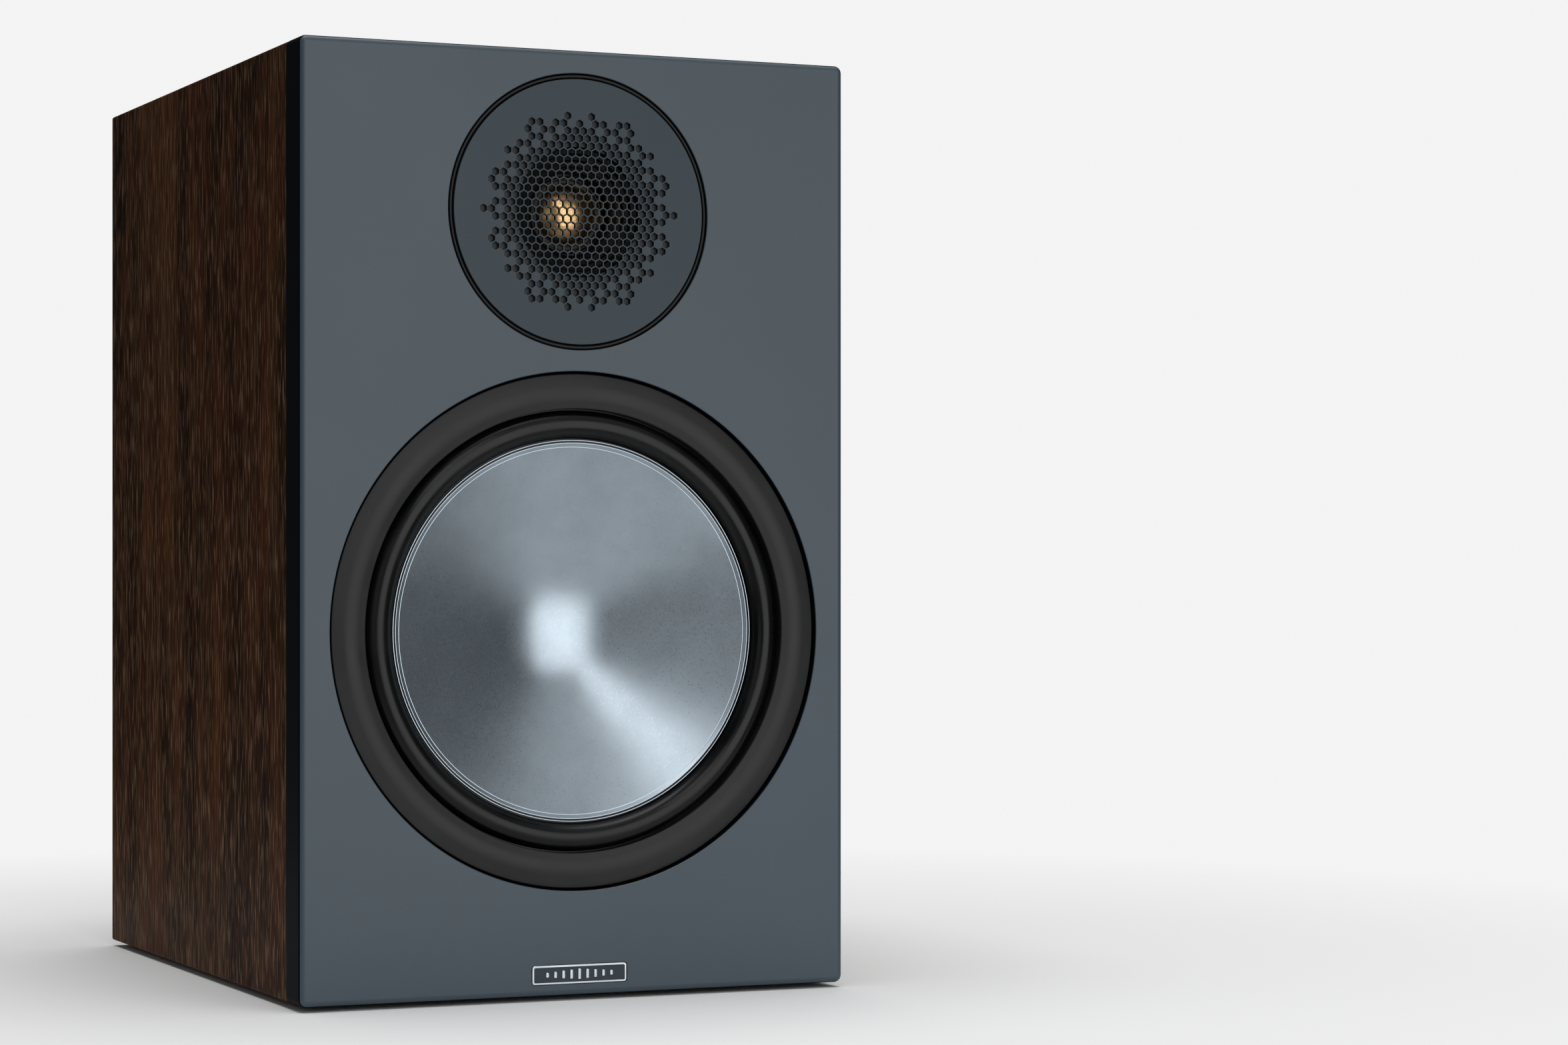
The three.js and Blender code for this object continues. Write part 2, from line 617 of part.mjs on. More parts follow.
// A shallow horn behind the plate: terraces that step down to the throat round the dome.
function waveguide() {
  const rim = TWEETER_RADIUS - SEAM;
  const outline = [
    [rim, GUIDE_SEAT],
    [rim, GUIDE_FRONT],
    [rim - 3, GUIDE_FRONT],
    [TWEETER_BODY_RADIUS + 8, 3.4],
    [TWEETER_BODY_RADIUS - 2, 4.4],
    [TWEETER_BODY_RADIUS - 3, 6],
    [2 * DOME_RADIUS + 1, 8],
    [2 * DOME_RADIUS, 9.6],
    [THROAT_RADIUS + 1.5, 11.6],
    [THROAT_RADIUS, 13.4],
    [THROAT_RADIUS, THROAT_DEPTH],
    [TWEETER_BODY_RADIUS, THROAT_DEPTH],
    [TWEETER_BODY_RADIUS, GUIDE_SEAT],
  ];
  return piece('tweeter_waveguide', turned(outline, MEDIUM), BLACK_PLASTIC);
}

function dome() {
  const sphere = (DOME_RADIUS ** 2 + DOME_HEIGHT ** 2) / (2 * DOME_HEIGHT);
  const centre = SUSPENSION_FRONT - DOME_HEIGHT + sphere;
  const spread = THREE.MathUtils.radToDeg(Math.asin(DOME_RADIUS / sphere));
  const outer = arc(0, centre, sphere, -90, spread - 90, 5);
  const inner = arc(0, centre, sphere - DOME_WALL, spread - 90, -90, 5);
  outer[0][0] = 0;
  inner[inner.length - 1][0] = 0;
  return piece('tweeter_dome', turned([...outer, ...inner], MEDIUM), GOLD_METAL);
}

function domeSuspension() {
  const inner = DOME_RADIUS + SEAM;
  const rollRadius = 1.5;
  const thickness = 0.5;
  const middle = inner + rollRadius;
  const outline = [
    ...arc(middle, SUSPENSION_BACK, rollRadius, -180, 0, 4),
    [TWEETER_MAGNET_RADIUS - 2, SUSPENSION_FRONT],
    [TWEETER_MAGNET_RADIUS - 2, SUSPENSION_BACK],
    ...arc(middle, SUSPENSION_BACK, rollRadius - thickness, 0, -180, 4),
  ];
  return piece('tweeter_suspension', turned(outline, MEDIUM), BLACK_RUBBER);
}

function tweeterMotor() {
  const poleRadius = DOME_COIL_INNER - 1.5 * SEAM;
  const gapRadius = DOME_RADIUS + 2 * SEAM;
  const yoke = [
    [0, TWEETER_PLATE_FRONT + SEAM], [poleRadius, TWEETER_PLATE_FRONT + SEAM],
    [poleRadius, TWEETER_YOKE_FRONT], [TWEETER_MAGNET_RADIUS, TWEETER_YOKE_FRONT],
    [TWEETER_MAGNET_RADIUS, TWEETER_YOKE_BACK], [0, TWEETER_YOKE_BACK],
  ];
  const plateBack = TWEETER_PLATE_FRONT + TWEETER_PLATE;
  const topPlate = ring(gapRadius, TWEETER_MAGNET_RADIUS, TWEETER_PLATE_FRONT, plateBack, MEDIUM);
  const magnetBack = TWEETER_MAGNET_FRONT + TWEETER_MAGNET_HEIGHT;
  const magnet = ring(gapRadius + 4, TWEETER_MAGNET_RADIUS, TWEETER_MAGNET_FRONT, magnetBack, MEDIUM);
  return [
    piece('tweeter_top_plate', topPlate, STEEL),
    piece('tweeter_magnet', magnet, FERRITE),
    piece('tweeter_pole_yoke', turned(yoke, MEDIUM), STEEL),
  ];
}

function tweeterCoil() {
  const front = SUSPENSION_FRONT + DOME_WALL + SEAM;
  const back = TWEETER_MAGNET_FRONT + 1;
  return piece('tweeter_voice_coil', ring(DOME_COIL_INNER, DOME_RADIUS, front, back, MEDIUM), COPPER);
}

// A cup behind the tweeter's motor, open towards the yoke.
function rearChamber() {
  const wall = 2.5;
  const front = TWEETER_YOKE_BACK + SEAM;
  const outline = [
    [0, CHAMBER_BACK], [CHAMBER_RADIUS, CHAMBER_BACK], [CHAMBER_RADIUS, front],
    [CHAMBER_RADIUS - wall, front], [CHAMBER_RADIUS - wall, CHAMBER_BACK - wall], [0, CHAMBER_BACK - wall],
  ];
  return piece('tweeter_rear_chamber', turned(outline, MEDIUM), BLACK_PLASTIC);
}

function tweeter() {
  return groupAt(
    0, 0, TWEETER_UP, perforatedPlate(), sealRing(), waveguide(), dome(), domeSuspension(),
    tweeterCoil(), ...tweeterMotor(), rearChamber(),
  );
}

// ---- Port ----

// Inside radius of the port's rounded mouth at a distance below the cabinet's rear face.
function portMouthRadius(below) {
  const reach = PORT_FLARE - Math.min(below, PORT_FLARE);
  return PORT_BORE_RADIUS + PORT_FLARE - Math.sqrt(PORT_FLARE ** 2 - reach ** 2);
}

function portFlangeRadius() {
  return PORT_BORE_RADIUS + PORT_FLARE + PORT_FLANGE_WIDTH;
}

function portTube() {
  const back = CABINET_DEPTH;
  const flangeFront = back - PORT_FLANGE_THICKNESS;
  const innerEnd = back - PORT_LENGTH;
  const innerFlare = PORT_FLARE / 2;
  const bore = PORT_BORE_RADIUS;
  const outside = bore + PORT_WALL;
  const shoulder = portMouthRadius(PORT_FLANGE_THICKNESS) + PORT_WALL;
  const outline = [
    ...arc(bore + PORT_FLARE, back - PORT_FLARE, PORT_FLARE, 90, 180, 5),
    ...arc(bore + innerFlare, innerEnd + innerFlare, innerFlare, 180, 270, 3),
    [outside + innerFlare, innerEnd + PORT_WALL],
    [outside, innerEnd + PORT_WALL + innerFlare],
    [outside, back - PORT_FLARE],
    [shoulder, flangeFront],
    [portFlangeRadius(), flangeFront],
    [portFlangeRadius(), back],
  ];
  return groupAt(0, 0, PORT_UP, piece('port_tube', turned(outline, MEDIUM), BLACK_PLASTIC));
}

// ---- Terminal panel ----

const PANEL_FACE = CABINET_DEPTH + TRAY_WALL;
const TRAY_FLOOR = PANEL_FACE - TRAY_DEPTH;
const LINK_FRONT = TRAY_FLOOR + SEAM + COLLAR_HEIGHT + SEAM;
const WASHER_FRONT = LINK_FRONT + LINK_THICKNESS + SEAM;
const CAP_FRONT = WASHER_FRONT + WASHER_THICKNESS + SEAM;
const STUD_INNER_END = TRAY_FLOOR - TRAY_WALL - 13;
const CAP_END_WALL = 2;
const THREAD_CLEARANCE = 0.4;

function terminalPlate() {
  const outer = TRAY_OPENING + 2 * TRAY_WALL;
  const corner = 6;
  const flange = plate(
    roundedRectangle(TERMINAL_FLANGE, TERMINAL_FLANGE, corner), CABINET_DEPTH + SEAM, PANEL_FACE,
  );
  const tray = plate(roundedRectangle(outer, outer, corner), TRAY_FLOOR - TRAY_WALL, PANEL_FACE - 1);
  const hollow = plate(
    roundedRectangle(TRAY_OPENING, TRAY_OPENING, corner - TRAY_WALL), TRAY_FLOOR, PANEL_FACE + 1,
  );
  const holes = postPlaces().map(({ x, z }) => {
    return disc(STUD_RADIUS + THREAD_CLEARANCE, 0, PANEL_FACE, SMALL).translate(x, 0, z);
  });
  return piece('terminal_plate', carve(join(flange, tray), [hollow, ...holes]), BLACK_PLASTIC);
}

function postPlaces() {
  const places = [];
  for (const [row, up] of [['high', 1], ['low', -1]]) {
    for (const [pole, side] of [['positive', -1], ['negative', 1]]) {
      places.push({
        name: `${row}_${pole}`,
        x: (side * POST_PITCH_X) / 2,
        z: (up * POST_PITCH_Z) / 2,
        colour: pole === 'positive' ? RED_PLASTIC : BLACK_PLASTIC,
      });
    }
  }
  return places;
}

// A threaded stud with a collar on the tray's floor, and a blind bore for a plug in its outer end.
function stud() {
  const outerEnd = TOTAL_DEPTH - CAP_END_WALL - 2 * SEAM;
  const collarFront = TRAY_FLOOR + SEAM;
  const boreEnd = outerEnd - PLUG_BORE_DEPTH;
  return turned([
    [0, STUD_INNER_END],
    [STUD_RADIUS, STUD_INNER_END],
    [STUD_RADIUS, collarFront],
    [COLLAR_RADIUS, collarFront],
    [COLLAR_RADIUS, collarFront + COLLAR_HEIGHT],
    [STUD_RADIUS, collarFront + COLLAR_HEIGHT],
    [STUD_RADIUS, outerEnd],
    [PLUG_BORE_RADIUS, outerEnd],
    [PLUG_BORE_RADIUS, boreEnd],
    [0, boreEnd],
  ], SMALL);
}

// A screw cap over the stud, with a hole in its end for the plug.
function cap() {
  const bore = STUD_RADIUS + THREAD_CLEARANCE;
  const end = TOTAL_DEPTH;
  const mouth = PLUG_BORE_RADIUS + THREAD_CLEARANCE;
  return turned([
    [bore, CAP_FRONT],
    [CAP_RADIUS, CAP_FRONT],
    [CAP_RADIUS, end - 1],
    [CAP_RADIUS - 1, end],
    [mouth, end],
    [mouth, end - CAP_END_WALL],
    [bore, end - CAP_END_WALL],
  ], SMALL);
}

function washer() {
  const bore = STUD_RADIUS + THREAD_CLEARANCE;
  return ring(bore, CAP_RADIUS - 0.4, WASHER_FRONT, WASHER_FRONT + WASHER_THICKNESS, SMALL);
}

// A flat metal strip that joins the upper and lower posts of one pole.
function jumperLink(name, x) {
  const outline = roundedRectangle(LINK_WIDTH, POST_PITCH_Z + LINK_WIDTH, LINK_WIDTH / 2 - 0.01, x, 0);
  for (const up of [-1, 1]) {
    outline.holes.push(circle(STUD_RADIUS + THREAD_CLEARANCE, x, (up * POST_PITCH_Z) / 2, SMALL));
  }
  return piece(name, plate(outline, LINK_FRONT, LINK_FRONT + LINK_THICKNESS), BRASS);
}

function terminals() {
  const group = groupAt(
    0, 0, TERMINAL_UP, terminalPlate(),
    jumperLink('jumper_link_positive', -POST_PITCH_X / 2),
    jumperLink('jumper_link_negative', POST_PITCH_X / 2),
  );
  for (const { name, x, z, colour } of postPlaces()) {
    group.add(groupAt(
      x, 0, z, piece(`stud_${name}`, stud(), BRASS), piece(`washer_${name}`, washer(), BRASS),
      piece(`cap_${name}`, cap(), colour),
    ));
  }
  return group;
}

// ---- Crossover, leads and absorbing pads ----

const BOARD_REAR = ROOM_BACK - 48;
const BOARD_FRONT = BOARD_REAR - BOARD_LENGTH;
const BOARD_BOTTOM = ROOM_BOTTOM + BOARD_STANDOFF;
const BOARD_TOP = BOARD_BOTTOM + BOARD_THICKNESS;

// An air-cored coil that stands on the board.
function inductor(name, x, depth, radius, height) {
  const coil = upright(ring(radius * 0.45, radius, 0, height, MEDIUM));
  return piece(name, coil.translate(x, depth, BOARD_TOP + SEAM), COPPER);
}

// A film capacitor that lies across the board.
function capacitor(name, x, depth, radius, length) {
  const body = disc(radius, -length / 2, length / 2, SMALL).rotateZ(Math.PI / 2);
  return piece(name, body.translate(x, depth, BOARD_TOP + SEAM + radius), BROWN_CLOTH);
}

function crossover() {
  const half = BOARD_WIDTH / 2;
  const board = block([-half, half], [BOARD_FRONT, BOARD_REAR], [BOARD_BOTTOM, BOARD_TOP]);
  const bar = block(
    [-25, 25], [BOARD_FRONT + 8, BOARD_FRONT + 18], [BOARD_TOP + SEAM, BOARD_TOP + SEAM + 10],
  );
  return [
    piece('crossover_board', board, BOARD_GREEN),
    inductor('woofer_inductor', -half + 32, BOARD_REAR - 32, 26, 22),
    inductor('tweeter_inductor', half - 24, BOARD_FRONT + 24, 17, 16),
    capacitor('tweeter_capacitor', half - 36, BOARD_REAR - 22, 10, 44),
    capacitor('woofer_capacitor', 6, BOARD_REAR - 48, 8, 32),
    piece('power_resistor', bar, CERAMIC_WHITE),
  ];
}

// Twin leads that are clipped along their whole route inside the cabinet.
function leads() {
  const onBoard = BOARD_TOP + SEAM + LEAD_RADIUS;
  const stripBottom = WOOFER_UP + STRIP_TOP - STRIP_THICKNESS - SEAM;
  const side = ROOM_HALF_WIDTH - 38;
  const toWoofer = [
    [-60, BOARD_FRONT + 14, onBoard], [-58, BOARD_FRONT - 8, onBoard + 3],
    [-40, BOARD_FRONT - 45, onBoard + 16], [-14, LEDGE_DEPTH + 12, stripBottom - 22],
    [0, LEDGE_DEPTH - 3, stripBottom],
  ];
  const toTweeter = [
    [BOARD_WIDTH / 2 - 6, BOARD_REAR - 46, onBoard],
    [side + 6, BOARD_REAR - 30, onBoard + 30],
    [side, BOARD_REAR - 20, WOOFER_UP],
    [side, BOARD_REAR - 24, BRACE_UP],
    [side, BOARD_REAR - 60, TWEETER_UP - 30],
    [side - 4, CHAMBER_BACK + 30, TWEETER_UP - 10],
    [CHAMBER_RADIUS + 12, CHAMBER_BACK - 6, TWEETER_UP - 1],
    [CHAMBER_RADIUS + LOOSE, CHAMBER_BACK - 8, TWEETER_UP],
  ];
  const studEnd = STUD_INNER_END - LOOSE;
  const fromPosts = [
    [POST_PITCH_X / 2, studEnd, TERMINAL_UP - POST_PITCH_Z / 2],
    [POST_PITCH_X / 2, studEnd - 12, TERMINAL_UP - POST_PITCH_Z / 2 - 4],
    [0, BOARD_REAR + 10, onBoard + 24], [-4, BOARD_REAR + 4, onBoard + 4],
    [-4, BOARD_REAR - 8, onBoard],
  ];
  return [
    piece('woofer_lead', tube(toWoofer, LEAD_RADIUS), BLACK_PLASTIC),
    piece('tweeter_lead', tube(toTweeter, LEAD_RADIUS), BLACK_PLASTIC),
    piece('input_lead', tube(fromPosts, LEAD_RADIUS), BLACK_PLASTIC),
  ];
}

function absorbingPads() {
  const bottom = BOARD_TOP + 48;
  const top = WOOFER_UP + WOOFER_RADIUS - 20;
  return [['left', -1], ['right', 1]].map(([name, side]) => {
    const walls = [side * (ROOM_HALF_WIDTH - PAD_THICKNESS), side * (ROOM_HALF_WIDTH - SEAM)];
    const pad = block(walls.sort((a, b) => a - b), [BACK_PLATE_FRONT, ROOM_BACK - 20], [bottom, top]);
    return piece(`absorbing_pad_${name}`, pad, GREY_WOOL);
  });
}

// ---- Assembly ----

const cabinet = groupAt(
  0, -TOTAL_DEPTH / 2, FOOT_HEIGHT,
  sidePanel('side_panel_left', -1), sidePanel('side_panel_right', 1),
  levelPanel('top_panel', CABINET_TOP, ROOM_TOP), levelPanel('bottom_panel', CABINET_BOTTOM, ROOM_BOTTOM),
  rearPanel(), frontBaffle(), shelfBrace(), ...feet(), badge(),
  woofer(), tweeter(), portTube(), terminals(),
  ...crossover(), ...leads(), ...absorbingPads(),
);

const speaker = new THREE.Group();
speaker.add(cabinet);

export default speaker;
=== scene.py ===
"""A two-way bookshelf loudspeaker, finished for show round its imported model.

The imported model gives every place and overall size. Each sub-assembly is a class that shapes its own
meshes in millimetres, dresses them in its finishes and hands them to the frame. X runs across the
cabinet, Y from front to back and Z up.
"""

from __future__ import annotations

import json
import logging
import math
from dataclasses import dataclass
from enum import Enum
from typing import Callable

import bmesh
import bpy
from mathutils import Matrix, Vector
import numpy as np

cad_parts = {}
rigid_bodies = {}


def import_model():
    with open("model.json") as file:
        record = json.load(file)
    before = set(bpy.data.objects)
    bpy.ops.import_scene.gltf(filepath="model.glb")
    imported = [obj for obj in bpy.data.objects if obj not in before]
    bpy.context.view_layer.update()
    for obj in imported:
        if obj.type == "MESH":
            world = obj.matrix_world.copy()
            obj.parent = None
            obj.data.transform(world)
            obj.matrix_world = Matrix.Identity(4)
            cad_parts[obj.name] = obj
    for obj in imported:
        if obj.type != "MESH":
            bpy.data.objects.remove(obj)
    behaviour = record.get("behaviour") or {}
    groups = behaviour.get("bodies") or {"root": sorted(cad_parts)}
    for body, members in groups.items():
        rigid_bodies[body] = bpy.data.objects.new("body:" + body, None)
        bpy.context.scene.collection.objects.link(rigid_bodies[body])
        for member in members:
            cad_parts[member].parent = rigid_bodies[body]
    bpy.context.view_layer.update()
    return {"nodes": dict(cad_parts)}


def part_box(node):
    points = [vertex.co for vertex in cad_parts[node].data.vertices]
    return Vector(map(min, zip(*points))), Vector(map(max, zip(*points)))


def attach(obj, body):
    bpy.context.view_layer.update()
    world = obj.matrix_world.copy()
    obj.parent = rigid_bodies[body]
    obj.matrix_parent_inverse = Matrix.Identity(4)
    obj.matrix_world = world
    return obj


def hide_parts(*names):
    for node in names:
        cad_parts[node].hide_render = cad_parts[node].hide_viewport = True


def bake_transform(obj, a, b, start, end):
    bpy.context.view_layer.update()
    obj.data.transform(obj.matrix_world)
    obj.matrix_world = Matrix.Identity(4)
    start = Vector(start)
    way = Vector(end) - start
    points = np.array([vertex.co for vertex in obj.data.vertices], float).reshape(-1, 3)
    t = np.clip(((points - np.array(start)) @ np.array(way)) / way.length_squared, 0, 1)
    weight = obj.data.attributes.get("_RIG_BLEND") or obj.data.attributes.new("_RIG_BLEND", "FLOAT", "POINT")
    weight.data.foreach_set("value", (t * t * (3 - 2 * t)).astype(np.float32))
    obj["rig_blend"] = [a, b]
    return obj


for leftover in list(bpy.data.objects):
    bpy.data.objects.remove(leftover)
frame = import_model()

LOG = logging.getLogger("loudspeaker")
MM = 0.001
Point = tuple[float, float]
Loop = list[bmesh.types.BMEdge]
Socket = bpy.types.NodeSocket
Colour = tuple[float, float, float]

# ---- Shaping tools ----


def arc(centre: Point, radius: float, start: float, stop: float, steps: int) -> list[Point]:
    """Points along a round stretch.

    Args:
        centre: The middle of the circle.
        radius: The circle's radius.
        start: The first point's angle, in degrees.
        stop: The last point's angle, in degrees.
        steps: How many straight pieces it is cut into.

    Returns:
        The points, both ends included.
    """
    angles = [math.radians(start + (stop - start) * step / steps) for step in range(steps + 1)]
    return [(centre[0] + radius * math.cos(a), centre[1] + radius * math.sin(a)) for a in angles]


def outline(*corners: tuple[float, ...], steps: int = 4) -> list[Point]:
    """A closed outline of straight lines, with some corners rounded.

    Args:
        corners: Each corner's two coordinates, and its fillet radius where it is rounded.
        steps: How many straight pieces each fillet is cut into.

    Returns:
        The outline's points in order.
    """
    made: list[Point] = []
    for index, (across, along, *fillet) in enumerate(corners):
        if not fillet:
            made.append((across, along))
            continue
        here = Vector((across, along))
        before = (Vector(corners[index - 1][:2]) - here).normalized()
        after = (Vector(corners[(index + 1) % len(corners)][:2]) - here).normalized()
        half = before.angle(after) / 2
        middle = here + (before + after).normalized() * fillet[0] / math.sin(half)
        first = here + before * fillet[0] / math.tan(half) - middle
        last = here + after * fillet[0] / math.tan(half) - middle
        start = math.degrees(math.atan2(first.y, first.x))
        sweep = (math.degrees(math.atan2(last.y, last.x)) - start + 180) % 360 - 180
        made += arc((middle.x, middle.y), fillet[0], start, start + sweep, steps)
    return made


def smooth_step(value: float, start: float, stop: float) -> float:
    """Rises smoothly from 0 at start to 1 at stop.

    Args:
        value: The place between the two.
        start: Where the rise begins.
        stop: Where it ends.

    Returns:
        The height of the rise, from 0 to 1.
    """
    share = min(max((value - start) / (stop - start), 0.0), 1.0)
    return share * share * (3 - 2 * share)


@dataclass(frozen=True)
class Bend:
    """How a round skin bends between the body that holds its rim and the one inside it.

    Attributes:
        moving: The body that holds its inner rim.
        outer: The radius where the bend starts, in millimetres.
        inner: The radius where it ends, in millimetres.
    """

    moving: str
    outer: float
    inner: float


@dataclass(frozen=True)
class Belonging:
    """What a piece is called and what it goes with.

    Attributes:
        name: The piece's name.
        body: The body that it rides on.
        slot: The record's material slot that it goes with; not used.
        replaces: The plain solids that it stands for.
        bend: How it bends, where it is a soft skin across a joint.
    """

    name: str
    body: str
    slot: str
    replaces: tuple[str, ...] = ()
    bend: Bend | None = None


class Workpiece:
    """A mesh in the making, in millimetres from its own zero: X across, Y the depth and Z up."""

    def __init__(self) -> None:
        """Starts an empty mesh."""
        self.mesh = bmesh.new()

    def turn(self, profile: list[Point], steps: int, closed: bool = True) -> None:
        """Turns a profile about the Y axis.

        Args:
            profile: The (radius, depth) points of one side.
            steps: How many flats the full turn has.
            closed: Whether the last point joins the first. A profile from axis to axis stays open.
        """
        points = [self.mesh.verts.new((radius, depth, 0)) for radius, depth in profile]
        pairs = list(zip(points, points[1:])) + ([(points[-1], points[0])] if closed else [])
        edges = [self.mesh.edges.new(pair) for pair in pairs]
        bmesh.ops.spin(
            self.mesh, geom=points + edges, cent=(0, 0, 0), axis=(0, 1, 0), dvec=(0, 0, 0),
            angle=math.tau, steps=steps, use_merge=True,
        )

    def circle(self, radius: float, depth: float, steps: int, middle: Point = (0, 0)) -> Loop:
        """Draws a circle that faces along Y.

        Args:
            radius: The circle's radius, to its corners.
            depth: Its place along Y.
            steps: How many sides it has.
            middle: Its centre across and up.

        Returns:
            The circle's edges.
        """
        place = Matrix.Translation((middle[0], depth, middle[1])) @ Matrix.Rotation(math.pi / 2, 4, "X")
        made = bmesh.ops.create_circle(self.mesh, radius=radius, segments=steps, matrix=place)
        return list({edge for point in made["verts"] for edge in point.link_edges})

    def oblong(
        self, width: float, height: float, corner: float, depth: float, middle: Point = (0, 0), steps: int = 6
    ) -> Loop:
        """Draws a rectangle with round corners that faces along Y.

        Args:
            width: The size across.
            height: The size up.
            corner: The radius of its corners.
            depth: Its place along Y.
            middle: Its centre across and up.
            steps: How many straight pieces each corner has.

        Returns:
            The rectangle's edges.
        """
        place = (
            Matrix.Translation((middle[0], depth, middle[1]))
            @ Matrix.Rotation(math.pi / 2, 4, "X")
            @ Matrix.Diagonal((width, height, 1, 1))
        )
        made = bmesh.ops.create_grid(self.mesh, x_segments=1, y_segments=1, size=0.5, matrix=place)
        rounded = bmesh.ops.bevel(
            self.mesh, geom=made["verts"], offset=corner, offset_type="OFFSET", segments=steps,
            profile=0.5, affect="VERTICES", material=-1,
        )
        face = rounded["verts"][0].link_faces[0]
        edges = list(face.edges)
        bmesh.ops.delete(self.mesh, geom=[face], context="FACES_ONLY")
        return edges

    def bridge(self, *loops: Loop) -> None:
        """Joins each loop to the next one, with a band of faces or by filling the plane that they share."""
        for first, second in zip(loops, loops[1:]):
            depths = [point.co.y for edge in first + second for point in edge.verts]
            if max(depths) - min(depths) < MM:
                self.fill(first, second)
            else:
                bmesh.ops.bridge_loops(self.mesh, edges=first + second)

    def fill(self, *loops: Loop) -> None:
        """Fills the flat area between an outer loop and the loops inside it."""
        edges = [edge for loop in loops for edge in loop]
        bmesh.ops.triangle_fill(self.mesh, use_beauty=True, edges=edges, normal=(0, 1, 0))

    def copies(self, shifts: list[Point]) -> None:
        """Repeats all that is made so far at each of the given places across and up.

        Args:
            shifts: Where each copy goes. The first one takes the original.
        """
        original = self.mesh.verts[:] + self.mesh.edges[:] + self.mesh.faces[:]
        for across, up in shifts[1:]:
            made = bmesh.ops.duplicate(self.mesh, geom=original)["geom"]
            points = [item for item in made if isinstance(item, bmesh.types.BMVert)]
            bmesh.ops.translate(self.mesh, verts=points, vec=(across, 0, up))
        first = [item for item in original if isinstance(item, bmesh.types.BMVert)]
        bmesh.ops.translate(self.mesh, verts=first, vec=(shifts[0][0], 0, shifts[0][1]))

    def paint(self, choose: Callable[[Vector], int]) -> None:
        """Picks each face's finish.

        Args:
            choose: Gives the number of the finish for a face's centre.
        """
        for face in self.mesh.faces:
            face.material_index = choose(face.calc_center_median())

    def done(
        self, belonging: Belonging, at: Vector, *finishes: Finish, flat: bool = True, angle: float = 40
    ) -> bpy.types.Object:
        """Closes the mesh, sets it in its place and hands it to the frame.

        Args:
            belonging: The piece's name, body, slot and the solids that it stands for.
            at: Where the piece's zero goes, in metres.
            finishes: The finishes, in the order of the faces' numbers.
            flat: Whether flat faces are kept flat next to rounded edges.
            angle: Edges sharper than this many degrees are shaded sharp.

        Returns:
            The finished piece.
        """
        bmesh.ops.remove_doubles(self.mesh, verts=self.mesh.verts, dist=0.001)
        bmesh.ops.recalc_face_normals(self.mesh, faces=self.mesh.faces)
        if self.mesh.calc_volume(signed=True) < 0:
            bmesh.ops.reverse_faces(self.mesh, faces=self.mesh.faces)
        bmesh.ops.scale(self.mesh, vec=(MM, MM, MM), verts=self.mesh.verts)
        bmesh.ops.translate(self.mesh, vec=at, verts=self.mesh.verts)
        data = bpy.data.meshes.new(belonging.name)
        for face in self.mesh.faces:
            face.smooth = True
        self.mesh.to_mesh(data)
        self.mesh.free()
        data.set_sharp_from_angle(angle=math.radians(angle))
        piece = bpy.data.objects.new(belonging.name, data)
        bpy.context.scene.collection.objects.link(piece)
        for finish in finishes:
            data.materials.append(finish.material())
        if flat:
            shading = piece.modifiers.new("flat_faces", "WEIGHTED_NORMAL")
            shading.keep_sharp = True
        if belonging.bend:
            bend_round(piece, belonging.body, belonging.bend, at)
        else:
            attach(piece, belonging.body)
        if belonging.replaces:
            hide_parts(*belonging.replaces)
        LOG.info("%s: %d faces on %s", belonging.name, len(data.polygons), belonging.body)
        return piece


def bend_round(piece: bpy.types.Object, still: str, bend: Bend, axis: Vector) -> None:
    """Lets a round skin bend with a joint, more and more from its rim inwards.

    Args:
        piece: The skin.
        still: The body that holds its outer rim.
        bend: Where it bends, and with which body.
        axis: A point on its axis, which runs along Y.
    """
    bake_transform(piece, still, bend.moving, start=axis, end=axis + Vector((bend.outer * MM, 0, 0)))
    weights = piece.data.attributes["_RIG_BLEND"].data
    for point, weight in zip(piece.data.vertices, weights):
        radius = math.hypot(point.co.x - axis.x, point.co.z - axis.z) / MM
        weight.value = smooth_step(radius, bend.outer, bend.inner)


# ---- Finishes ----


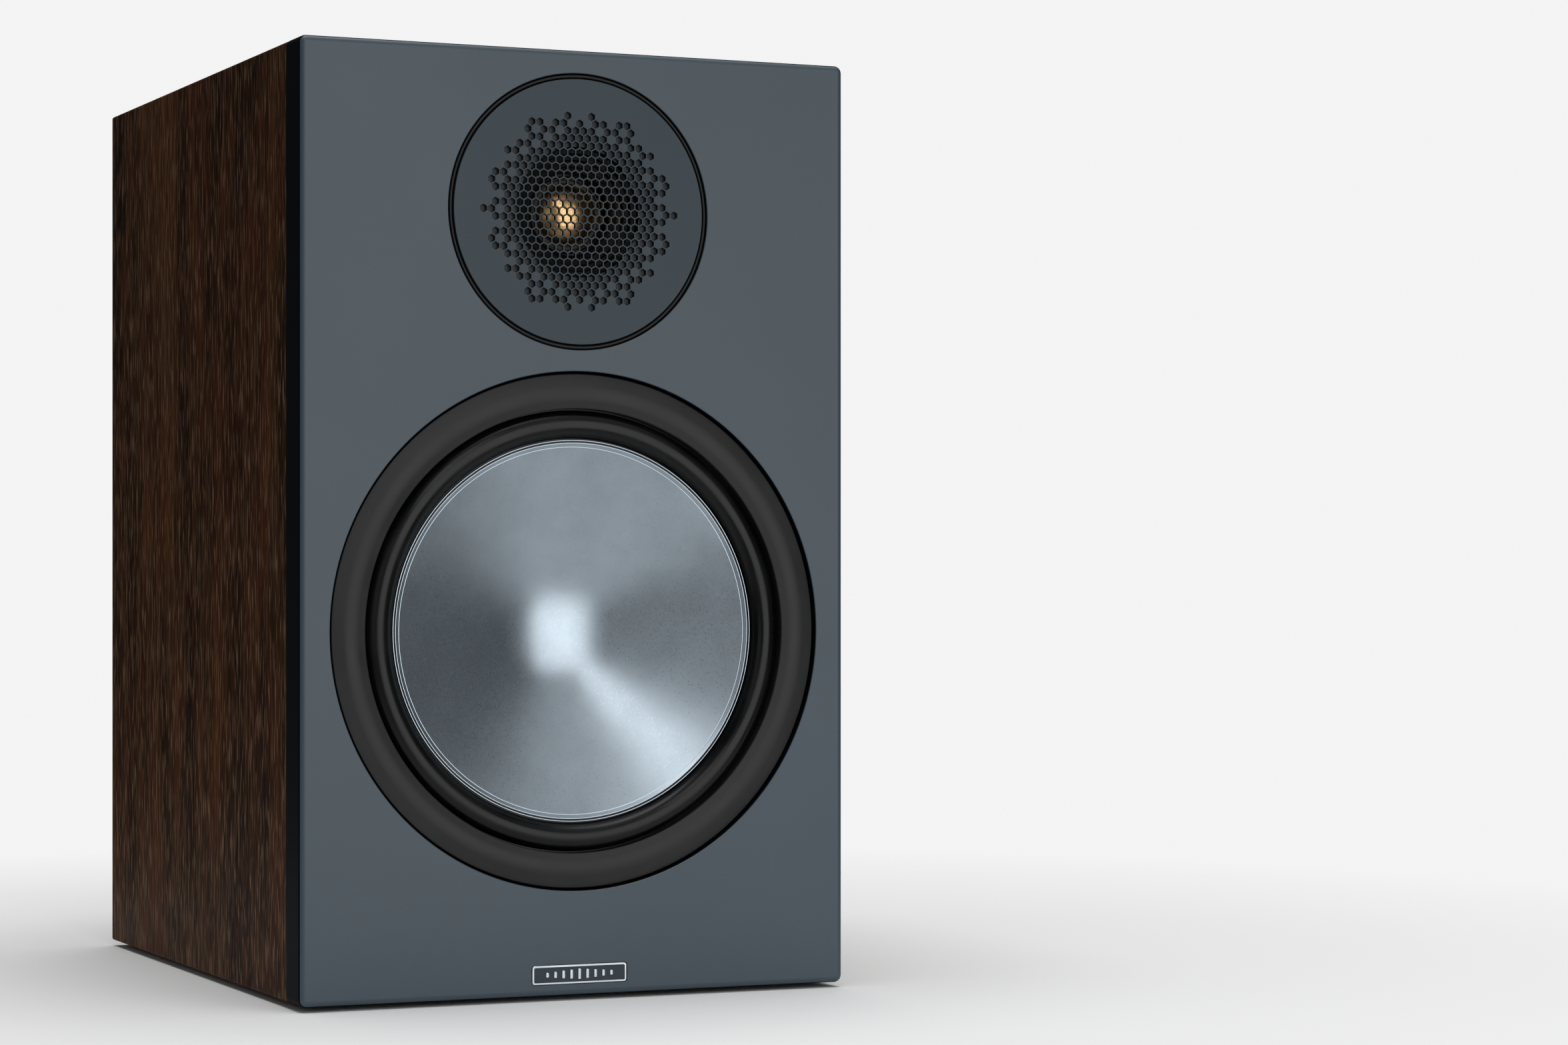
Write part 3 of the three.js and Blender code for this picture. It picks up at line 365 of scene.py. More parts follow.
class Recipe:
    """A material's nodes, with short ways to add the ones that the finishes share."""

    def __init__(self, name: str, colour: Colour, roughness: float, metallic: float = 0.0) -> None:
        """Starts a material with one even colour.

        Args:
            name: The material's name.
            colour: Its base colour.
            roughness: How blurred its reflections are.
            metallic: 1 for bare metal, 0 for anything else.
        """
        self.material = bpy.data.materials.new(name)
        self.material.use_nodes = True
        self.nodes = self.material.node_tree.nodes
        self.links = self.material.node_tree.links
        self.shader = self.nodes["Principled BSDF"]
        self.place = self.nodes.new("ShaderNodeTexCoord").outputs["Object"]
        self.shader.inputs["Base Color"].default_value = (*colour, 1)
        self.shader.inputs["Roughness"].default_value = roughness
        self.shader.inputs["Metallic"].default_value = metallic
        self.material.diffuse_color = (*colour, 1)

    def add(self, kind: str, inputs: dict[str, object], **settings: object) -> bpy.types.Node:
        """Adds a node.

        Args:
            kind: The node's type.
            inputs: Its inputs, as numbers, colours or another node's output.
            settings: Its own settings.

        Returns:
            The node.
        """
        node = self.nodes.new(kind)
        for key, value in settings.items():
            setattr(node, key, value)
        for key, value in inputs.items():
            self.feed(node.inputs[key], value)
        return node

    def feed(self, socket: Socket, value: object) -> None:
        """Links an output to a socket, or sets the socket to a number or a colour."""
        if isinstance(value, bpy.types.NodeSocket):
            self.links.new(value, socket)
        else:
            socket.default_value = value

    def to_shader(self, name: str, value: Socket) -> None:
        """Links an output to one of the shader's sockets."""
        self.links.new(value, self.shader.inputs[name])

    def stretched(self, scale: tuple[float, float, float], middle: Vector = Vector()) -> Socket:
        """The surface's own coordinates about a point, stretched along each axis.

        Args:
            scale: Pattern units for each metre along each axis.
            middle: The point that they are counted from.

        Returns:
            The coordinates.
        """
        moved = Vector([-part * size for part, size in zip(middle, scale)])
        node = self.add("ShaderNodeMapping", {"Vector": self.place, "Scale": scale, "Location": moved})
        return node.outputs["Vector"]

    def noise(
        self,
        scale: tuple[float, float, float],
        detail: float = 2,
        roughness: float = 0.5,
        distortion: float = 0,
    ) -> Socket:
        """Smooth random values.

        Args:
            scale: How many blotches there are in a metre along each axis.
            detail: How many finer layers are added.
            roughness: How strong the finer layers are.
            distortion: How much the blotches wander.

        Returns:
            The values, from 0 to 1.
        """
        node = self.add(
            "ShaderNodeTexNoise",
            {
                "Vector": self.stretched(scale), "Scale": 1.0, "Detail": detail, "Roughness": roughness,
                "Distortion": distortion,
            },
        )
        return node.outputs["Fac"]

    def spread(self, source: Socket, low: float, high: float, to_low: float, to_high: float) -> Socket:
        """Stretches values from one range to another, and clamps them.

        Args:
            source: The values.
            low: The value that becomes to_low.
            high: The value that becomes to_high.
            to_low: The new value at low.
            to_high: The new value at high.

        Returns:
            The new values.
        """
        node = self.add(
            "ShaderNodeMapRange",
            {"Value": source, "From Min": low, "From Max": high, "To Min": to_low, "To Max": to_high},
        )
        return node.outputs["Result"]

    def ramp(self, source: Socket, stops: list[tuple[float, Colour]]) -> Socket:
        """Colours for values from 0 to 1.

        Args:
            source: The values.
            stops: Pairs of a value and its colour, in rising order.

        Returns:
            The colours.
        """
        node = self.add("ShaderNodeValToRGB", {"Fac": source})
        bands = node.color_ramp.elements
        bands[0].position, bands[0].color = stops[0][0], (*stops[0][1], 1)
        bands[1].position, bands[1].color = stops[-1][0], (*stops[-1][1], 1)
        for position, colour in stops[1:-1]:
            bands.new(position).color = (*colour, 1)
        return node.outputs["Color"]

    def mix(self, share: Socket, first: Socket, second: Socket | Colour, mode: str = "MIX") -> Socket:
        """Mixes two colours.

        Args:
            share: How much of the second one there is.
            first: The colour underneath.
            second: The colour on top.
            mode: How they mix.

        Returns:
            The mixed colour.
        """
        node = self.add("ShaderNodeMix", {}, data_type="RGBA", blend_type=mode)
        self.feed(node.inputs[0], share)
        self.feed(node.inputs[6], first)
        self.feed(node.inputs[7], second if isinstance(second, bpy.types.NodeSocket) else (*second, 1))
        return node.outputs[2]

    def maths(self, operation: str, first: Socket | float, second: Socket | float = 0.0) -> Socket:
        """One sum on two values.

        Args:
            operation: The sum's name.
            first: The first value.
            second: The second value.

        Returns:
            The result.
        """
        node = self.add("ShaderNodeMath", {}, operation=operation)
        self.feed(node.inputs[0], first)
        self.feed(node.inputs[1], second)
        return node.outputs[0]

    def bump(self, height: Socket, strength: float, depth: float) -> None:
        """Raises the surface by a pattern, over any bump that it has already.

        Args:
            height: The pattern, from 0 to 1.
            strength: How much of it shows.
            depth: How high it stands, in millimetres.
        """
        node = self.add("ShaderNodeBump", {"Height": height, "Strength": strength, "Distance": depth * MM})
        earlier = self.shader.inputs["Normal"].links
        if earlier:
            self.links.new(earlier[0].from_socket, node.inputs["Normal"])
        self.to_shader("Normal", node.outputs["Normal"])


@dataclass(frozen=True)
class Finish:
    """A surface finish. Each kind fills in its own recipe.

    Attributes:
        name: The material's name.
    """

    name: str

    def material(self) -> bpy.types.Material:
        """The finish's material, made the first time it is asked for."""
        return bpy.data.materials.get(self.name) or self.recipe().material

    def recipe(self) -> Recipe:
        """The finish's nodes."""
        raise NotImplementedError


@dataclass(frozen=True)
class Lacquer(Finish):
    """Satin lacquer sprayed on board or metal.

    Attributes:
        colour: Its colour.
        roughness: How blurred its reflections are.
        specular: How strong they are.
        peel: How strong its fine orange peel is.
    """

    colour: Colour
    roughness: float = 0.42
    specular: float = 0.5
    peel: float = 0.06

    def recipe(self) -> Recipe:
        """A faint cloudiness, fine flakes and orange peel."""
        made = Recipe(self.name, self.colour, self.roughness)
        made.shader.inputs["Specular IOR Level"].default_value = self.specular
        cloud = made.noise((9, 9, 9), detail=3)
        flake = made.noise((2600, 2600, 2600), detail=1)
        paler = [channel * 1.09 for channel in self.colour]
        deeper = [channel * 0.92 for channel in self.colour]
        shade = made.ramp(flake, [(0.2, deeper), (0.8, paler)])
        base = made.mix(made.spread(cloud, 0.3, 0.7, 0.0, 0.5), shade, self.colour)
        made.to_shader("Base Color", base)
        rough = self.roughness
        made.to_shader("Roughness", made.spread(cloud, 0.2, 0.8, rough - 0.03, rough + 0.04))
        made.bump(made.noise((900, 900, 900), detail=2), self.peel, 0.05)
        return made


class Grain(Enum):
    """Which way wood grain runs: the slow axis has few pattern units and the quick one many."""

    WRAPPED = (1.0, 32.0, 1.0)
    UPRIGHT = (32.0, 1.0, 1.0)


@dataclass(frozen=True)
class Walnut(Finish):
    """Dark walnut foil with long fibres, broad bands and short pale pores.

    Attributes:
        grain: Which way the grain runs.
    """

    grain: Grain

    def strands(self, width: float, length: float) -> tuple[float, float, float]:
        """Pattern units for each metre, for strands of a width and length in millimetres."""
        quick, slow = 1000 / width, 1000 / length
        return tuple(quick if part > 1 else slow for part in self.grain.value)

    def recipe(self) -> Recipe:
        """Broad bands, fibres and pale pores, with the pores pressed into the surface."""
        made = Recipe(self.name, (0.05, 0.022, 0.011), 0.5)
        made.shader.inputs["Specular IOR Level"].default_value = 0.03
        bands = made.noise(self.strands(46, 600), detail=2, roughness=0.5, distortion=0.2)
        figure = made.noise(self.strands(9, 150), detail=4, roughness=0.65, distortion=0.2)
        fibre = made.noise(self.strands(1.7, 40), detail=3, roughness=0.6)
        pores = made.noise(self.strands(1.3, 13), detail=1, roughness=0.5)
        flecks = made.noise(self.strands(2.2, 24), detail=2, roughness=0.6)
        blush = made.noise(self.strands(22, 90), detail=2)
        tone = made.maths("ADD", made.maths("MULTIPLY", bands, 0.62), made.maths("MULTIPLY", figure, 0.38))
        base = made.ramp(
            tone,
            [
                (0.38, (0.01, 0.0036, 0.0012)),
                (0.46, (0.024, 0.0088, 0.0026)),
                (0.54, (0.054, 0.0205, 0.006)),
                (0.64, (0.095, 0.038, 0.011)),
            ],
        )
        warm = made.mix(made.spread(blush, 0.48, 0.68, 0.0, 0.55), base, (0.09, 0.024, 0.006))
        fine = made.ramp(
            fibre, [(0.32, (0.42, 0.4, 0.38)), (0.52, (1.0, 1.0, 1.0)), (0.72, (1.55, 1.5, 1.45))]
        )
        streaked = made.mix(0.9, warm, fine, "MULTIPLY")
        flecked = made.mix(made.spread(flecks, 0.52, 0.66, 0.0, 0.4), streaked, (0.13, 0.058, 0.023))
        pale = made.spread(pores, 0.55, 0.66, 0.0, 0.75)
        made.to_shader("Base Color", made.mix(pale, flecked, (0.21, 0.118, 0.067)))
        made.to_shader("Roughness", made.spread(fibre, 0.3, 0.7, 0.58, 0.46))
        made.bump(fibre, 0.2, 0.1)
        made.bump(pores, 0.25, 0.08)
        return made


@dataclass(frozen=True)
class Rubber(Finish):
    """Moulded rubber, matt with a fine bloom.

    Attributes:
        colour: Its colour.
        roughness: How blurred its reflections are.
        specular: How strong they are.
        grit: How strong the fine surface of the mould is.
    """

    colour: Colour
    roughness: float = 0.6
    specular: float = 0.4
    grit: float = 0.2

    def recipe(self) -> Recipe:
        """A faint dusty bloom over a fine moulded grit."""
        made = Recipe(self.name, self.colour, self.roughness)
        made.shader.inputs["Specular IOR Level"].default_value = self.specular
        bloom = made.noise((38, 38, 38), detail=4, roughness=0.6)
        grit = made.noise((2800, 2800, 2800), detail=2)
        paler = [channel * 1.35 + 0.002 for channel in self.colour]
        deeper = [channel * 0.8 for channel in self.colour]
        made.to_shader("Base Color", made.ramp(bloom, [(0.3, deeper), (0.7, paler)]))
        rough = self.roughness
        made.to_shader("Roughness", made.spread(bloom, 0.3, 0.7, rough - 0.05, rough + 0.08))
        made.bump(grit, self.grit, 0.05)
        return made


@dataclass(frozen=True)
class Plastic(Finish):
    """Moulded plastic with an even, finely etched surface.

    Attributes:
        colour: Its colour.
        roughness: How blurred its reflections are.
        etch: How strong the etched texture is.
        etch_size: The size of its bumps, in millimetres.
    """

    colour: Colour
    roughness: float = 0.45
    etch: float = 0.35
    etch_size: float = 0.45

    def recipe(self) -> Recipe:
        """Etched bumps, with the colour and gloss wandering slightly."""
        made = Recipe(self.name, self.colour, self.roughness)
        bumps = 1000 / self.etch_size
        etched = made.noise((bumps, bumps, bumps), detail=2, roughness=0.6)
        cloud = made.noise((60, 60, 60), detail=3)
        paler = [channel * 1.25 + 0.001 for channel in self.colour]
        deeper = [channel * 0.85 for channel in self.colour]
        made.to_shader("Base Color", made.ramp(cloud, [(0.3, deeper), (0.7, paler)]))
        rough = self.roughness
        made.to_shader("Roughness", made.spread(etched, 0.3, 0.7, rough - 0.06, rough + 0.08))
        made.bump(etched, self.etch, 0.06)
        return made


class Lay(Enum):
    """How a metal surface was worked."""

    TURNED = "turned"
    DRAWN = "drawn"
    CAST = "cast"
    BEADED = "beaded"
    PLATED = "plated"


@dataclass(frozen=True)
class Metal(Finish):
    """Bare, anodised or plated metal.

    Attributes:
        colour: Its colour.
        roughness: How blurred its reflections are.
        lay: How its surface was worked.
        axis: The axle that a turned surface goes round, in metres.
        marks: How strong the tool marks are.
    """

    colour: Colour
    roughness: float
    lay: Lay
    axis: tuple[float, float, float] = (0.0, 0.0, 0.0)
    marks: float = 0.1

    def recipe(self) -> Recipe:
        """Tool marks that suit the way the surface was worked, and a slight tarnish."""
        made = Recipe(self.name, self.colour, self.roughness, metallic=1.0)
        cloud = made.noise((45, 45, 45), detail=4, roughness=0.6)
        paler = [min(channel * 1.06, 1.0) for channel in self.colour]
        deeper = [channel * 0.88 for channel in self.colour]
        made.to_shader("Base Color", made.ramp(cloud, [(0.25, deeper), (0.7, paler)]))
        marks = self.tool_marks(made)
        spread = 0.08 if self.lay in (Lay.TURNED, Lay.DRAWN) else 0.04
        rough = self.roughness
        made.to_shader("Roughness", made.spread(marks, 0.3, 0.7, rough - spread, rough + spread))
        made.bump(marks, self.marks, 0.04)
        return made

    def tool_marks(self, made: Recipe) -> Socket:
        """The pattern of the tool marks.

        Args:
            made: The recipe that it is added to.

        Returns:
            The pattern, from 0 to 1.
        """
        if self.lay is Lay.TURNED:
            about = made.stretched((1, 0, 1), Vector(self.axis))
            radius = made.add("ShaderNodeVectorMath", {}, operation="LENGTH")
            made.feed(radius.inputs[0], about)
            rings = made.add("ShaderNodeTexNoise", {"Scale": 2600.0, "Detail": 2.0}, noise_dimensions="1D")
            made.feed(rings.inputs["W"], radius.outputs["Value"])
            return rings.outputs["Fac"]
        if self.lay is Lay.DRAWN:
            return made.noise((60, 60, 2400), detail=2)
        if self.lay is Lay.CAST:
            return made.noise((900, 900, 900), detail=4, roughness=0.7)
        if self.lay is Lay.BEADED:
            return made.noise((1900, 1900, 1900), detail=2)
        return made.noise((260, 260, 260), detail=3)


@dataclass(frozen=True)
class Woven(Finish):
    """Cloth of crossing threads.

    Attributes:
        colour: Its colour.
        thread: The distance between threads, in millimetres.
    """

    colour: Colour
    thread: float

    def recipe(self) -> Recipe:
        """Two sets of threads, painted darker where they dip and paler on their crests as painted shade and
        light.
        """
        made = Recipe(self.name, self.colour, 0.85)
        count = 1000 / self.thread
        warp = made.add("ShaderNodeTexWave", {"Vector": made.stretched((count, 0, 0)), "Scale": 0.16})
        weft = made.add("ShaderNodeTexWave", {"Vector": made.stretched((0, 0, count)), "Scale": 0.16})
        weft.bands_direction = "Z"
        weave = made.maths("MULTIPLY", warp.outputs["Fac"], weft.outputs["Fac"])
        fuzz = made.noise((1500, 1500, 1500), detail=3)
        height = made.maths("ADD", weave, made.maths("MULTIPLY", fuzz, 0.4))
        deeper = [channel * 0.45 for channel in self.colour]
        paler = [min(channel * 1.2, 1.0) for channel in self.colour]
        # Painted shade and light: darker in the hollows of the weave, paler on the threads' crests.
        made.to_shader("Base Color", made.ramp(height, [(0.1, deeper), (1.0, paler)]))
        made.bump(height, 0.6, 0.15)
        return made


@dataclass(frozen=True)
class Windings(Finish):
    """Layers of enamelled wire wound side by side.

    Attributes:
        colour: The wire's colour.
        pitch: The distance between turns, in millimetres.
        upright: Whether the coil's axis stands up rather than running from front to back.
    """

    colour: Colour
    pitch: float
    upright: bool = False

    def recipe(self) -> Recipe:
        """Round wires along the coil's axis, darker between the turns as painted shade, with lacquer that
        varies a little.
        """
        made = Recipe(self.name, self.colour, 0.32, metallic=0.85)
        turns = 1000 / self.pitch
        direction = (0, 0, turns) if self.upright else (0, turns, 0)
        wires = made.add("ShaderNodeTexWave", {"Vector": made.stretched(direction), "Scale": 0.314})
        wires.bands_direction = "Z" if self.upright else "Y"
        lacquer = made.noise((120, 120, 120), detail=3)
        deeper = [channel * 0.5 for channel in self.colour]
        # Painted shade: the colour halves in the troughs between the turns.
        shade = made.ramp(wires.outputs["Fac"], [(0.0, deeper), (0.6, self.colour)])
        made.to_shader("Base Color", made.mix(made.spread(lacquer, 0.3, 0.7, 0, 0.35), shade, self.colour))
        made.bump(wires.outputs["Fac"], 0.8, self.pitch / 3)
        return made


@dataclass(frozen=True)
class Wool(Finish):
    """Matted absorbing fibre.

    Attributes:
        colour: Its colour.
    """

    colour: Colour

    def recipe(self) -> Recipe:
        """Tangled fibres, with the soft hollows painted darker as painted shade."""
        made = Recipe(self.name, self.colour, 0.95)
        made.shader.inputs["Sheen Weight"].default_value = 0.4
        tangle = made.noise((420, 420, 420), detail=6, roughness=0.75, distortion=2.5)
        hollows = made.noise((60, 60, 60), detail=3)
        deeper = [channel * 0.6 for channel in self.colour]
        height = made.maths("ADD", made.maths("MULTIPLY", tangle, 0.6), made.maths("MULTIPLY", hollows, 0.4))
        # Painted shade: the colour darkens in the hollows.
        made.to_shader("Base Color", made.ramp(height, [(0.3, deeper), (0.65, self.colour)]))
        made.bump(height, 0.9, 1.2)
        return made


@dataclass(frozen=True)
class CircuitBoard(Finish):
    """A coated circuit board with copper tracks under the coating."""

    def recipe(self) -> Recipe:
        """Blocky tracks that stand a little proud of the board."""
        made = Recipe(self.name, (0.02, 0.09, 0.035), 0.35)
        place = made.stretched((70, 70, 70))
        cells = made.add("ShaderNodeTexVoronoi", {"Vector": place}, distance="CHEBYCHEV")
        tracks = made.spread(cells.outputs["Distance"], 0.32, 0.36, 0.0, 1.0)
        grain = made.noise((700, 700, 700), detail=2)
        base = made.ramp(grain, [(0.3, (0.012, 0.06, 0.024)), (0.7, (0.022, 0.09, 0.036))])
        made.to_shader("Base Color", made.mix(tracks, base, (0.05, 0.15, 0.05)))
        made.bump(tracks, 0.5, 0.06)
        return made


@dataclass(frozen=True)
class Board(Finish):
    """Bare or sealed fibreboard.

    Attributes:
        colour: Its colour.
    """

    colour: Colour

    def recipe(self) -> Recipe:
        """Pressed chips and dust."""
        made = Recipe(self.name, self.colour, 0.85)
        chips = made.noise((800, 800, 260), detail=4, roughness=0.7, distortion=0.6)
        deeper = [channel * 0.6 for channel in self.colour]
        paler = [min(channel * 1.25, 1.0) for channel in self.colour]
        made.to_shader("Base Color", made.ramp(chips, [(0.3, deeper), (0.7, paler)]))
        made.bump(chips, 0.4, 0.12)
        return made


BAFFLE_FRONT = Lacquer("baffle_satin", (0.038, 0.061, 0.08), roughness=0.42)
# Painted shade: the baffle's sides, back and the walls of its holes and pocket are near-black, darker than
# the front paint.
BAFFLE_SHADE = Lacquer("baffle_painted_shade", (0.003, 0.0045, 0.0055), roughness=0.5, specular=0.02)
FACE_PLATE = Lacquer("face_plate_satin", (0.022, 0.038, 0.05), roughness=0.38, specular=0.3, peel=0.04)
WALNUT_WRAP = Walnut("walnut_wrapped", Grain.WRAPPED)
WALNUT_REAR = Walnut("walnut_rear", Grain.UPRIGHT)
PANEL_EDGE = Board("panel_edge_sealed", (0.02, 0.011, 0.007))
RAW_BOARD = Board("raw_fibreboard", (0.42, 0.3, 0.18))
TRIM_RUBBER = Rubber("trim_soft_touch", (0.012, 0.0119, 0.0119), roughness=0.46, specular=0.32)
ROLL_RUBBER = Rubber("surround_rubber", (0.001, 0.0011, 0.0012), roughness=0.27, specular=0.25, grit=0.1)
SEAL_RUBBER = Rubber("seal_rubber", (0.0015, 0.0016, 0.0018), roughness=0.3, specular=0.2, grit=0.1)
FOOT_RUBBER = Rubber("foot_rubber", (0.012, 0.012, 0.013))
MOULDED_BLACK = Plastic("moulded_black", (0.008, 0.0085, 0.009))
WAVEGUIDE_BLACK = Rubber(
    "waveguide_black", (0.0015, 0.0016, 0.0018), roughness=0.45, specular=0.12, grit=0.05
)
CAP_BLACK = Plastic("cap_black_gloss", (0.006, 0.006, 0.007), roughness=0.2, etch=0.04)
CAP_RED = Plastic("cap_red_gloss", (0.33, 0.006, 0.008), roughness=0.2, etch=0.04)
GOLD_DOME = Metal("gold_anodised", (1.0, 0.6, 0.27), 0.24, Lay.PLATED, marks=0.05)
GOLD_PLATING = Metal("gold_plating", (0.9, 0.62, 0.25), 0.2, Lay.PLATED, marks=0.06)
SCREW_BLACK = Metal("blackened_steel", (0.05, 0.05, 0.052), 0.35, Lay.PLATED, marks=0.2)
BASKET = Metal("basket_cast", (0.09, 0.09, 0.095), 0.5, Lay.CAST, marks=0.4)
STEEL = Metal("plated_steel", (0.56, 0.56, 0.57), 0.32, Lay.PLATED)
FERRITE = Board("ferrite", (0.03, 0.03, 0.032))
FORMER = Board("coil_former_paper", (0.4, 0.24, 0.1))
SPIDER_CLOTH = Woven("spider_weave", (0.55, 0.34, 0.1), 0.9)
VOICE_WIRE = Windings("voice_coil_wire", (0.72, 0.3, 0.14), 0.35)
COIL_WIRE = Windings("crossover_wire", (0.75, 0.32, 0.15), 1.0, upright=True)
LEAD_JACKET = Rubber("lead_jacket", (0.01, 0.01, 0.011), roughness=0.45, grit=0.05)
CAPACITOR = Plastic("capacitor_film", (0.55, 0.4, 0.04), roughness=0.25, etch=0.05)
RESISTOR = Board("resistor_cement", (0.62, 0.6, 0.54))
CIRCUIT = CircuitBoard("circuit_board")
ABSORBER = Wool("absorbing_wool", (0.6, 0.6, 0.57))
# Painted shade: the plate's hole walls and back are darker than its face paint.
HOLE_WALL_SHADE = Lacquer("hole_wall_painted_shade", (0.014, 0.02, 0.025), roughness=0.45, specular=0.3)
# The waveguide's flange: grey-blue paint like the plate's, made darker as painted shade where it shows
# through the holes.
HOLE_FLOOR_GREY_SHADED = Lacquer("hole_floor_grey_painted_shade", (0.015, 0.021, 0.026), roughness=0.5, specular=0.3)
BADGE_METAL = Metal("badge_aluminium", (0.6, 0.63, 0.66), 0.3, Lay.DRAWN, marks=0.08)
SIGN_PAINT = Plastic("sign_paint", (0.5, 0.5, 0.5), roughness=0.5, etch=0.1)
CONE_METAL = Metal("cone_anodised", (0.37, 0.43, 0.48), 0.31, Lay.BEADED, marks=0.04)

# ---- Places ----


def extent(node: str) -> Vector:
    """A solid's size along each axis, in millimetres."""
    low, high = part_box(node)
    return (high - low) / MM


def centre(node: str) -> Vector:
    """The middle of a solid's box, in metres."""
    low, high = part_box(node)
    return (low + high) / 2


def on_front(node: str) -> Vector:
    """The point of the baffle's front plane that is straight in front of a solid's middle."""
    middle = centre(node)
    return Vector((middle.x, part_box("front_baffle")[0].y, middle.z))


def rounded_edge(radius: float, steps: int = 4) -> list[Point]:
    """A quarter round from a face to a side, as pairs of inset and depth."""
    return arc((radius, radius), radius, 270, 180, steps)


def turned(
    belonging: Belonging, at: Vector, profile: list[Point], steps: int, *finishes: Finish, closed: bool = True
) -> bpy.types.Object:
    """Makes a whole piece by turning one profile.

    Args:
        belonging: The piece's name, body, slot and the solids that it stands for.
        at: Where the profile's zero goes, in metres.
        profile: Its (radius, depth) points.
        steps: How many flats the full turn has.
        finishes: Its finishes.
        closed: Whether the last point joins the first.

    Returns:
        The finished piece.
    """
    made = Workpiece()
    made.turn(profile, steps, closed)
    return made.done(belonging, at, *finishes)


def dress(finish: Finish, *nodes: str) -> None:
    """Gives solids that are kept as they are a finish."""
    for node in nodes:
        for slot in frame["nodes"][node].material_slots:
            slot.material = finish.material()
        LOG.info("%s: kept, in %s", node, finish.name)


# ---- Cabinet ----


